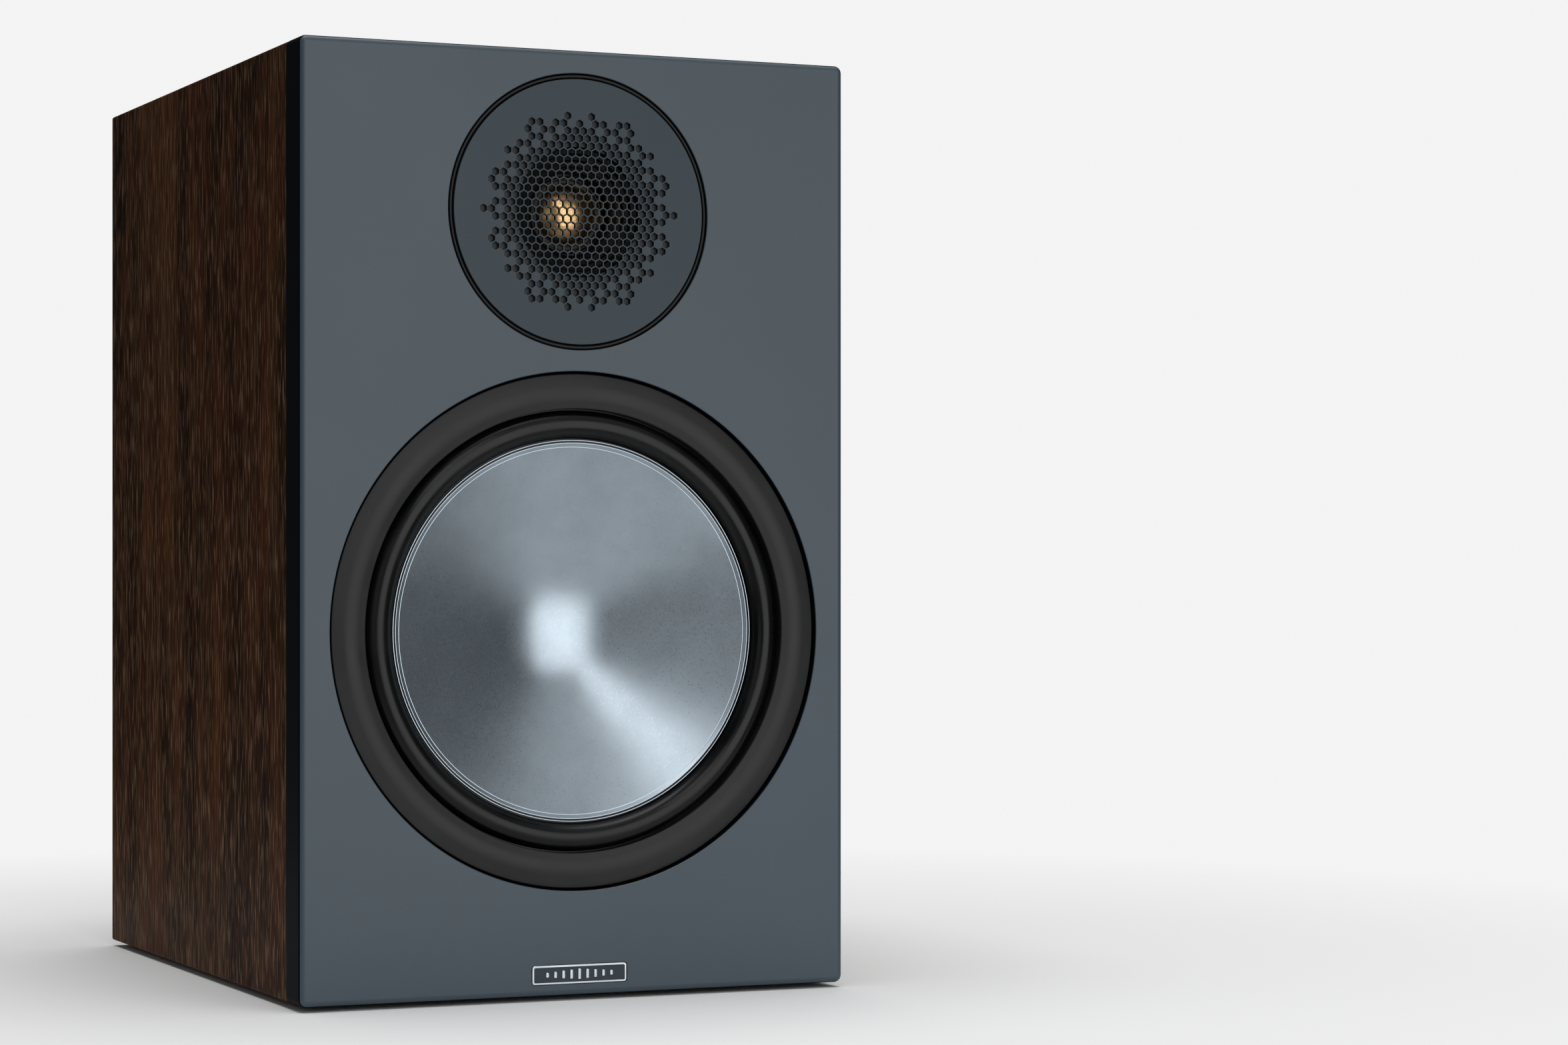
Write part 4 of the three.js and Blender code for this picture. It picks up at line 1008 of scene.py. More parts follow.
@dataclass
class Cabinet:
    """The wrapped box, its painted baffle, rear panel, badge and feet.

    Attributes:
        baffle_corner: The corner radius of the baffle's outline.
        baffle_edge: The radius of its front edges.
        lip: The tiny bevel where a recess meets the front face.
        woofer_hole: The radius of the hole behind the woofer's recess.
        woofer_recess: The recess's radius and depth.
        tweeter_hole: The radius of the hole behind the tweeter's recess.
        tweeter_recess: The recess's radius and depth.
        paint_depth: How far round the front edge the front's paint goes; deeper faces take the near-black
            painted shade.
        wall: The thickness of the wrapped panels.
        wrap_corner: The radius of the folds in the wrap.
        seam: The gap round a let-in piece.
        port_hole: The radius of the port's hole in the rear panel.
        port_seat: The seat for the port's flange, as radius and depth.
        tray_hole: The width of the terminal tray's hole.
        badge_border: The width of the badge's raised edge.
        badge_sunk: How deep its panel lies.
        bars: How many bars stand on it.
        bar_pitch: The distance between neighbouring bars.
        bar_width: The width of a bar.
        bar_heights: How tall the middle bar is, and how much shorter the row gets towards its ends.
    """

    baffle_corner: float = 3.0
    baffle_edge: float = 2.5
    lip: float = 0.25
    woofer_hole: float = 91.8
    woofer_recess: Point = (103.4, 10.0)
    tweeter_hole: float = 39.0
    tweeter_recess: Point = (55.1, 5.0)
    paint_depth: float = 1.3
    wall: float = 15.0
    wrap_corner: float = 1.2
    seam: float = 0.3
    port_hole: float = 32.9
    port_seat: Point = (40.5, 3.3)
    tray_hole: float = 89.6
    badge_border: float = 0.7
    badge_sunk: float = 0.25
    bars: int = 9
    bar_pitch: float = 3.4
    bar_width: float = 1.1
    bar_heights: Point = (4.2, 2.6)

    def build(self) -> None:
        """Makes every piece of the cabinet."""
        self.baffle()
        self.wrap()
        self.rear()
        self.badge()
        for place in ("front_left", "front_right", "rear_left", "rear_right"):
            self.foot(place)
        dress(RAW_BOARD, "shelf_brace")
        dress(ABSORBER, "absorbing_pad_left", "absorbing_pad_right")

    def recess(self, made: Workpiece, hole: float, recess: Point, up: float) -> tuple[Loop, Loop]:
        """Cuts one driver's stepped hole through the baffle.

        Args:
            made: The baffle.
            hole: The radius of the through hole.
            recess: The recess's radius and depth.
            up: Its centre, above the middle of the baffle.

        Returns:
            The front and back edges of the hole.
        """
        radius, depth = recess
        back = extent("front_baffle").y
        steps = [(radius + self.lip, 0), (radius, self.lip), (radius, depth), (hole, depth), (hole, back)]
        loops = [made.circle(size, along, 192, (0, up)) for size, along in steps]
        made.bridge(*loops)
        return loops[0], loops[-1]

    def baffle(self) -> None:
        """The painted front with its rounded edges, both stepped holes and the badge's pocket, with painted
        shade on its sides, back and hole walls.
        """
        size, at = extent("front_baffle"), on_front("front_baffle")
        made = Workpiece()
        edge = [
            made.oblong(size.x - 2 * inset, size.z - 2 * inset, self.baffle_corner - inset, depth)
            for inset, depth in rounded_edge(self.baffle_edge, 8)
        ]
        back = made.oblong(size.x, size.z, self.baffle_corner, size.y)
        made.bridge(*edge, back)
        woofer_up = (centre("woofer_trim_ring").z - at.z) / MM
        tweeter_up = (centre("tweeter_face_plate").z - at.z) / MM
        woofer = self.recess(made, self.woofer_hole, self.woofer_recess, woofer_up)
        tweeter = self.recess(made, self.tweeter_hole, self.tweeter_recess, tweeter_up)
        badge, badge_up = extent("badge_plate"), (centre("badge_plate").z - at.z) / MM
        gap = self.seam
        pocket = [
            made.oblong(badge.x + 2 * wide, badge.z + 2 * wide, 1 + wide, depth, (0, badge_up))
            for wide, depth in ((gap + 0.1, 0), (gap, 0.1), (gap, badge.y + gap))
        ]
        made.bridge(*pocket)
        made.fill(pocket[-1])
        made.fill(edge[0], woofer[0], tweeter[0], pocket[0])
        made.fill(back, woofer[1], tweeter[1])
        # Faces deeper than paint_depth take the second finish, the near-black painted shade.
        made.paint(lambda middle: int(middle.y > self.paint_depth))
        made.done(
            Belonging("baffle", "cabinet", "baffle_paint", ("front_baffle",)), at, BAFFLE_FRONT, BAFFLE_SHADE
        )

    def wrap(self) -> None:
        """The four walls, folded from one wrapped board, with the grain running over the folds."""
        low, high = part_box("side_panel_left")
        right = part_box("side_panel_right")[1].x
        width, height, depth = (right - low.x) / MM, (high.z - low.z) / MM, (high.y - low.y) / MM
        at = Vector(((low.x + right) / 2, low.y, (low.z + high.z) / 2))
        made = Workpiece()
        inside = (width - 2 * self.wall, height - 2 * self.wall)
        bevel = 0.5
        loops = [
            made.oblong(*inside, 0.5, 0),
            made.oblong(width - 2 * bevel, height - 2 * bevel, self.wrap_corner - bevel, 0),
            made.oblong(width, height, self.wrap_corner, bevel),
            made.oblong(width, height, self.wrap_corner, depth - bevel),
            made.oblong(width - bevel, height - bevel, self.wrap_corner - bevel / 2, depth),
            made.oblong(*inside, 0.5, depth),
        ]
        made.bridge(*loops, loops[0])

        def choose(middle: Vector) -> int:
            """Foil outside, sealed edge at the back and bare board inside."""
            if middle.y > depth - bevel / 4:
                return 1
            within = abs(middle.x) < inside[0] / 2 + 1 and abs(middle.z) < inside[1] / 2 + 1
            return 2 if within else 0

        made.paint(choose)
        panels = ("side_panel_left", "side_panel_right", "top_panel", "bottom_panel")
        made.done(
            Belonging("wrapped_walls", "cabinet", "cabinet_wrap", panels),
            at, WALNUT_WRAP, PANEL_EDGE, RAW_BOARD,
        )

    def rear(self) -> None:
        """The rear panel, with the port's seat and the hole for the terminal tray."""
        size, middle = extent("rear_panel"), centre("rear_panel")
        at = Vector((middle.x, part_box("rear_panel")[1].y, middle.z))
        made = Workpiece()
        bevel = 0.4
        back = made.oblong(size.x - 2 * bevel, size.z - 2 * bevel, 0.6, 0)
        side = made.oblong(size.x, size.z, 1, -bevel)
        front = made.oblong(size.x, size.z, 1, -size.y)
        made.bridge(back, side, front)
        port_up = (centre("port_tube").z - at.z) / MM
        seat, deep = self.port_seat
        through = self.port_hole
        port = [
            made.circle(radius, depth, 128, (0, port_up))
            for radius, depth in ((seat, 0), (seat, -deep), (through, -deep), (through, -size.y))
        ]
        made.bridge(*port)
        tray_up = (centre("terminal_plate").z - at.z) / MM
        tray = [made.oblong(self.tray_hole, self.tray_hole, 5, depth, (0, tray_up)) for depth in (0, -size.y)]
        made.bridge(*tray)
        made.fill(back, port[0], tray[0])
        made.fill(front, port[-1], tray[-1])
        made.paint(lambda face: int(face.y < -bevel))
        made.done(
            Belonging("rear_board", "cabinet", "cabinet_wrap", ("rear_panel",)), at, WALNUT_REAR, PANEL_EDGE
        )

    def badge(self) -> None:
        """A small plate with a sunk panel and a row of raised bars."""
        size, at = extent("badge_plate"), on_front("badge_plate")
        made = Workpiece()
        border, sunk, bevel = self.badge_border, self.badge_sunk, 0.12
        loops = [
            made.oblong(size.x, size.z, 1, size.y),
            made.oblong(size.x, size.z, 1, bevel),
            made.oblong(size.x - 2 * bevel, size.z - 2 * bevel, 0.9, 0),
            made.oblong(size.x - 2 * border, size.z - 2 * border, 0.6, 0),
            made.oblong(size.x - 2 * border, size.z - 2 * border, 0.6, sunk),
        ]
        made.bridge(*loops)
        made.fill(loops[0])
        made.fill(loops[-1])
        made.paint(lambda middle: int(middle.y > sunk - 0.01 and abs(middle.x) < size.x / 2 - border))
        made.done(
            Belonging("badge", "cabinet", "face_metal", ("badge_plate",)), at, BADGE_METAL, FACE_PLATE
        )
        bars, pitch = self.bars, self.bar_pitch
        tallest, fall = self.bar_heights
        row = Workpiece()
        for number in range(bars):
            across = (number - (bars - 1) / 2) * pitch
            tall = tallest - fall * abs(across) / (pitch * bars / 2)
            bar = [
                row.oblong(self.bar_width - 2 * inset, tall - 2 * inset, 0.3 - inset, depth, (across, 0), 3)
                for inset, depth in ((0, sunk), (0, 0.08), (0.08, 0))
            ]
            row.bridge(*bar)
            row.fill(bar[0])
            row.fill(bar[-1])
        row.done(Belonging("badge_bars", "cabinet", "face_metal"), at, BADGE_METAL)

    def foot(self, place: str) -> None:
        """One thin round pad under the cabinet.

        Args:
            place: Which corner it is at.
        """
        size, middle = extent(f"foot_{place}"), centre(f"foot_{place}")
        at = Vector((middle.x, middle.y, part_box(f"foot_{place}")[0].z))
        made = Workpiece()
        radius = size.x / 2
        made.turn(outline((0, 0), (radius, 0, 0.7), (radius, size.z, 0.3), (0, size.z)), 64, closed=False)
        bmesh.ops.rotate(
            made.mesh, cent=(0, 0, 0), matrix=Matrix.Rotation(math.pi / 2, 3, "X"), verts=made.mesh.verts
        )
        made.done(
            Belonging(f"pad_{place}", "cabinet", "black_rubber", (f"foot_{place}",)), at, FOOT_RUBBER
        )


# ---- Woofer ----


@dataclass
class Woofer:
    """The woofer: trim ring, rubber surround, one-piece cone and all that is behind it.

    Attributes:
        steps: How many flats its large rings have.
        trim_inner: The trim ring's inner radius.
        trim_crown: The radius where its face stands highest.
        trim_fall: How far its face slopes down to its outer edge.
        trim_dish: How far its face slopes in.
        roll_middle: The radius of the surround's roll.
        roll: The radius of the roll's own section.
        lip: The front of the surround's two flat lips.
        lip_ends: The radii where the two lips end.
        rubber: The surround's thickness.
        dish_radius: Where the cone's slope meets its flat rim.
        rim_depth: The depth of that rim.
        slope: The cone's slope.
        bowl: The radius where the slope turns into a shallow bowl.
        line: The radius of the fine bright line inside the rim.
        bead: The radius where the rim's groove starts.
        edge: The cone's outer radius.
        land: The width of the flat on each bright line.
        groove_depth: How deep the rim's groove is.
        sheet: The cone's thickness.
        spider_waves: How many folds the spider has.
        spider_swing: How high they are.
    """

    steps: int = 192
    trim_inner: float = 88.5
    trim_crown: float = 94.5
    trim_fall: float = 1.9
    trim_dish: float = 1.7
    roll_middle: float = 82.4
    roll: float = 5.7
    lip: float = 6.6
    lip_ends: Point = (73.2, 91.3)
    rubber: float = 0.6
    dish_radius: float = 75.0
    rim_depth: float = 5.65
    slope: float = 0.4136
    bowl: float = 24.0
    line: float = 73.3
    bead: float = 74.85
    edge: float = 76.2
    land: float = 0.22
    groove_depth: float = 0.45
    sheet: float = 0.65
    spider_waves: int = 4
    spider_swing: float = 1.4

    def build(self) -> None:
        """Makes every piece of the woofer."""
        self.at = on_front("woofer_trim_ring")
        self.trim()
        self.surround()
        self.cone()
        self.spider()
        self.coil()
        dress(BASKET, "woofer_basket")
        dress(STEEL, "woofer_top_plate", "woofer_pole_yoke")
        dress(FERRITE, "woofer_magnet")
        dress(MOULDED_BLACK, "woofer_terminal_strip")

    def trim(self) -> None:
        """The soft ring that hides the frame's screws."""
        outer, deep = extent("woofer_trim_ring").x / 2, extent("woofer_trim_ring").y
        profile = outline(
            (outer, self.trim_fall, 0.5), (self.trim_crown, -0.2, 12), (self.trim_inner, self.trim_dish, 0.7),
            (self.trim_inner, deep, 0.2), (outer, deep, 0.2), steps=10,
        )
        turned(
            Belonging("trim_ring", "cabinet", "trim_rubber", ("woofer_trim_ring",)),
            self.at, profile, self.steps, TRIM_RUBBER,
        )

    def surround(self) -> None:
        """The half roll of rubber between the frame and the cone, which bends as the cone moves."""
        lip, back = self.lip, self.lip + self.rubber
        inner, outer = self.lip_ends
        rise = math.degrees(math.asin(self.rubber / self.roll))
        front_roll = arc((self.roll_middle, back), self.roll, 360 - rise, 180 + rise, 32)
        back_roll = arc((self.roll_middle, back), self.roll - self.rubber, 180, 360, 32)
        profile = [(outer, lip), *front_roll, (inner, lip), (inner, back), *back_roll, (outer, back)]
        bend = Bend("woofer_moving_system", self.roll_middle + self.roll, self.roll_middle - self.roll)
        turned(
            Belonging("rubber_surround", "cabinet", "black_rubber", ("woofer_surround",), bend),
            self.at, profile, self.steps, ROLL_RUBBER,
        )

    def dish_depth(self, radius: float) -> float:
        """How deep the cone's front is at a radius: a straight slope that ends in a shallow bowl."""
        straight = self.slope * (self.dish_radius - max(radius, self.bowl))
        dished = self.slope * (self.bowl**2 - min(radius, self.bowl) ** 2) / (2 * self.bowl)
        return self.rim_depth + straight + dished

    def cone(self) -> None:
        """The metal dish with its flat rim, two bright beads and the groove between them."""
        radii = [self.bowl * step / 16 for step in range(17)]
        radii += [self.bowl + (self.dish_radius - self.bowl) * step / 12 for step in range(1, 13)]
        front = [(radius, self.dish_depth(radius)) for radius in radii]
        rim, line, bead, edge, land = self.rim_depth, self.line, self.bead, self.edge, self.land
        front = [point for point in front if point[0] < line - 1]
        level, inside = self.dish_depth(line), line + land + 0.1
        front += [(line, level), (line + land, level), (inside, self.dish_depth(inside))]
        sunk = rim + self.groove_depth
        beads = [
            (bead, rim), (bead + land, rim), (bead + land + 0.06, sunk), (edge - 0.36, sunk),
            (edge - 0.3, rim - 0.1), (edge - 0.08, rim - 0.1), (edge, rim), (edge, rim + self.sheet),
        ]
        back = [(radius, depth + self.sheet) for radius, depth in reversed(front)]
        made = Workpiece()
        made.turn([*front, *beads, *back], self.steps, closed=False)
        groove = (bead + land, edge - 0.32)

        def in_groove(face: Vector) -> int:
            """The slot of a face: 1, the near-black painted shade, in the rim's groove and 0 elsewhere."""
            return int(groove[0] < math.hypot(face.x, face.z) < groove[1] and face.y < rim + 0.55)

        # Painted shade: the metal groove takes the surround's near-black rubber finish.
        made.paint(in_groove)
        made.done(
            Belonging("cone_dish", "woofer_moving_system", "cone_metal", ("woofer_cone",)),
            self.at, CONE_METAL, ROLL_RUBBER, flat=False, angle=12,
        )

    def spider(self) -> None:
        """The pleated cloth disc that centres the coil, which bends as the cone moves."""
        size, middle = extent("woofer_spider"), centre("woofer_spider")
        inner, outer, thick = extent("woofer_coil_former").x / 2 + 0.3, size.x / 2, 0.6
        first, last = inner + 4, outer - 4
        count = self.spider_waves * 16
        waves = []
        for step in range(count + 1):
            share = step / count
            swing = -self.spider_swing * math.sin(math.tau * self.spider_waves * share)
            waves.append((first + (last - first) * share, swing - thick / 2))
        front = [(inner, -thick / 2), *waves, (outer, -thick / 2)]
        back = [(radius, depth + thick) for radius, depth in reversed(front)]
        bend = Bend("woofer_moving_system", last, first)
        turned(
            Belonging("pleated_spider", "cabinet", "spider_cloth", ("woofer_spider",), bend),
            middle, front + back, 96, SPIDER_CLOTH,
        )

    def coil(self) -> None:
        """The former behind the cone and the wire wound on it."""
        former, winding = extent("woofer_coil_former"), extent("woofer_coil_winding")
        wall, outer = 0.4, former.x / 2
        at = Vector((self.at.x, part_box("woofer_coil_former")[0].y, self.at.z))
        turned(
            Belonging("coil_tube", "woofer_moving_system", "coil_former", ("woofer_coil_former",)),
            at, [(outer - wall, 0), (outer, 0), (outer, former.y), (outer - wall, former.y)], 96, FORMER,
        )
        at = Vector((self.at.x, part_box("woofer_coil_winding")[0].y, self.at.z))
        inside, outside = outer + 0.15, winding.x / 2
        profile = outline(
            (inside, 0), (outside, 0, 0.3), (outside, winding.y, 0.3), (inside, winding.y)
        )
        turned(
            Belonging("coil_wire", "woofer_moving_system", "copper_wire", ("woofer_coil_winding",)),
            at, profile, 96, VOICE_WIRE,
        )


# ---- Tweeter ----

@dataclass
class Tweeter:
    """The tweeter: a perforated plate in a sealed groove, with a gold dome behind it.

    Attributes:
        steps: How many flats its rings have.
        pitch: The distance between neighbouring holes in a row.
        flats: The width of a hole across its flats.
        burr: The bevel round each hole.
        full: The radius, in pitches, within which no hole is left out.
        reach: The mean radius, in pitches, of the field's edge.
        swing: How far, in pitches, the edge runs in and out round that mean.
        tips: How many tips the edge has.
        guide_front: The front of the waveguide's flange.
        guide_seat: Its back.
        mouth: The radius where the waveguide's flange falls away.
        throat: The radius and depth of its throat.
        ledges: How many small steps lead down to the throat.
        dome_wall: The dome's thickness.
    """

    steps: int = 128
    pitch: float = 3.375
    flats: float = 2.88
    burr: float = 0.05
    full: float = 9.2
    reach: float = 11.4
    swing: float = 0.9
    tips: int = 18
    guide_front: float = 1.8
    guide_seat: float = 4.7
    mouth: float = 26.0
    throat: Point = (16.6, 15.5)
    ledges: int = 4
    dome_wall: float = 0.5

    def build(self) -> None:
        """Makes every piece of the tweeter."""
        self.at = on_front("tweeter_face_plate")
        self.plate()
        self.seal()
        self.waveguide()
        self.dome()
        self.suspension()
        dress(VOICE_WIRE, "tweeter_voice_coil")
        dress(STEEL, "tweeter_top_plate", "tweeter_pole_yoke")
        dress(FERRITE, "tweeter_magnet")
        dress(MOULDED_BLACK, "tweeter_rear_chamber")

    def is_open(self, across: float, row: int) -> bool:
        """Whether the field has a hole there: every place in the middle, then a honeycomb with tips.

        Args:
            across: How far the place is from the middle, in pitches.
            row: Which row it is in, counted from the middle one.

        Returns:
            True where a hole goes through.
        """
        up = row * math.sqrt(3) / 2
        away = math.hypot(across, up)
        edge = self.reach + self.swing * math.cos(self.tips * math.atan2(up, across))
        ring_middle = (across - 1.5 * row) % 3 == 1
        return away <= self.full or (away <= edge and not ring_middle)

    def holes(self) -> list[Point]:
        """The centre of every hole: one quarter, mirrored left and right, and above and below."""
        span = math.ceil(self.reach + self.swing) + 1
        places = set()
        for row in range(math.ceil(span * 2 / math.sqrt(3))):
            for count in range(span):
                steps = count + 0.5 * (row % 2)
                if self.is_open(steps, row):
                    across, up = steps * self.pitch, row * self.pitch * math.sqrt(3) / 2
                    places |= {(across, up), (-across, up), (across, -up), (-across, -up)}
        return sorted({(across + 0.0, up + 0.0) for across, up in places})

    def plate(self) -> None:
        """The flat metal plate with its field of six-sided holes, thinning out towards its edge."""
        outer, thick = extent("tweeter_face_plate").x / 2, extent("tweeter_face_plate").y
        made = Workpiece()
        corner = self.flats / math.sqrt(3)
        hole = [
            made.circle(radius, depth, 6)
            for radius, depth in ((corner + self.burr, 0), (corner, self.burr), (corner, thick))
        ]
        made.bridge(*hole)
        made.copies(self.holes())
        rims = [edge for edge in made.mesh.edges if edge.is_boundary]
        front = [edge for edge in rims if edge.verts[0].co.y < thick / 2]
        back = [edge for edge in rims if edge.verts[0].co.y > thick / 2]
        rim = [
            made.circle(outer - inset, depth, self.steps)
            for inset, depth in (*rounded_edge(0.3, 3), (0.0, thick))
        ]
        made.bridge(*rim)
        made.fill(rim[0], front)
        made.fill(rim[-1], back)
        # Hole walls and the back take the darker second finish, painted shade inside the holes.
        made.paint(lambda face: int(face.y > self.burr and math.hypot(face.x, face.z) < outer - 1))
        made.done(
            Belonging("perforated_plate", "cabinet", "face_metal", ("tweeter_face_plate",)),
            self.at, FACE_PLATE, HOLE_WALL_SHADE, angle=30,
        )

    def seal(self) -> None:
        """The rubber ring that fills the groove round the plate."""
        low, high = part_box("tweeter_seal_ring")
        front, back = (low.y - self.at.y) / MM, (high.y - self.at.y) / MM
        outer, inner = extent("tweeter_seal_ring").x / 2, extent("tweeter_face_plate").x / 2 + 0.3
        profile = outline((inner, front, 0.75), (outer, front, 0.75), (outer, back), (inner, back), steps=8)
        turned(
            Belonging("groove_seal", "cabinet", "black_rubber", ("tweeter_seal_ring",)),
            self.at, profile, self.steps, SEAL_RUBBER,
        )

    def waveguide(self) -> None:
        """The flange close behind the plate, stepping down to a throat round the dome."""
        outer = extent("tweeter_waveguide").x / 2
        neck, back = self.throat
        body = extent("tweeter_suspension").x / 2 + 9.5
        ledge = (self.mouth - neck) / self.ledges
        drop = (back - 5.5 - self.guide_front) / self.ledges
        stairs = []
        for step in range(self.ledges):
            radius, depth = self.mouth - step * ledge, self.guide_front + step * drop
            foot = depth + drop
            stairs += [(radius, depth), (radius - 0.5, depth + drop - 0.3), (radius - ledge + 0.6, foot)]
        profile = [
            (outer, self.guide_front), *stairs, (neck, back - 5), (neck, back), (body, back),
            (body, self.guide_seat), (outer, self.guide_seat),
        ]
        made = Workpiece()
        made.turn(profile, self.steps)
        # The flange's front takes the grey-blue finish darkened as painted shade; the rest is black.
        made.paint(
            lambda face: int(math.hypot(face.x, face.z) > self.mouth and face.y < self.guide_front + 0.1)
        )
        made.done(
            Belonging("stepped_waveguide", "cabinet", "black_plastic", ("tweeter_waveguide",)),
            self.at, WAVEGUIDE_BLACK, HOLE_FLOOR_GREY_SHADED,
        )

    def dome(self) -> None:
        """The thin gold cap and its short skirt."""
        radius = extent("tweeter_dome").x / 2
        low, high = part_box("tweeter_dome")
        crown, skirt = (low.y - self.at.y) / MM, (high.y - self.at.y) / MM
        height = skirt - crown - 0.4
        sphere = (radius**2 + height**2) / (2 * height)
        reach = math.degrees(math.asin(radius / sphere))
        wall = self.dome_wall
        front = arc((0, crown + sphere), sphere, 270, 270 + reach, 24)
        back = arc((0, crown + sphere), sphere - wall, 270 + reach * 0.96, 270, 24)
        profile = [*front, (radius, skirt), (radius - wall, skirt), *back]
        made = Workpiece()
        made.turn(profile, 96, closed=False)
        made.done(
            Belonging("gold_cap", "tweeter_moving_system", "gold_dome", ("tweeter_dome",)),
            self.at, GOLD_DOME, flat=False,
        )

    def suspension(self) -> None:
        """The soft ring round the dome, which bends as the dome moves."""
        low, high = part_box("tweeter_suspension")
        crest, back = (low.y - self.at.y) / MM, (high.y - self.at.y) / MM
        inner, outer = extent("tweeter_dome").x / 2 + 0.2, extent("tweeter_suspension").x / 2
        front, middle = crest + 0.9, inner + 2
        roll = arc((middle, front), front - crest, 360, 180, 12)
        under = arc((middle, front + 0.3), front - crest, 180, 360, 12)
        bend = Bend("tweeter_moving_system", middle + 0.9, middle - 0.9)
        turned(
            Belonging("dome_suspension", "cabinet", "black_rubber", ("tweeter_suspension",), bend),
            self.at,
            [(outer, front), *roll, (inner, front), (inner, back), (middle - 1, back), *under, (outer, back)],
            96, ROLL_RUBBER,
        )


# ---- Port ----


@dataclass
class Port:
    """The reflex port: a tube with a round mouth let into the rear panel.

    Attributes:
        bore: The tube's inner radius.
        wall: Its wall.
        flare: The radius of its mouth.
        flange: How thick the flange is.
        collar: The radius of the part that goes through the panel.
    """

    bore: float = 26.0
    wall: float = 2.5
    flare: float = 12.0
    flange: float = 3.0
    collar: float = 32.4

    def build(self) -> None:
        """Turns the tube, its rounded inner end and its flared mouth."""
        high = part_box("port_tube")[1]
        at = Vector((centre("port_tube").x, high.y, centre("port_tube").z))
        outer, length = extent("port_tube").x / 2, extent("port_tube").y
        half = self.wall / 2
        inner_end = arc((self.bore + half, half - length), half, 270, 180, 6)
        mouth = arc((self.bore + self.flare, -self.flare), self.flare, 180, 90, 20)
        profile = [
            *inner_end, *mouth, (outer - 0.6, 0), (outer - 0.2, -0.15), (outer, -0.6), (outer, -self.flange),
            (self.collar, -self.flange), (self.collar, -self.flange - 4), (self.bore + self.wall, -18),
            (self.bore + self.wall, half - length),
        ]
        turned(
            Belonging("flared_port", "cabinet", "black_plastic", ("port_tube",)),
            at, profile, 128, MOULDED_BLACK,
        )


# ---- Terminals ----


class Polarity(Enum):
    """The two sides of a terminal, and the sign moulded next to each."""

    PLUS = "positive"
    MINUS = "negative"


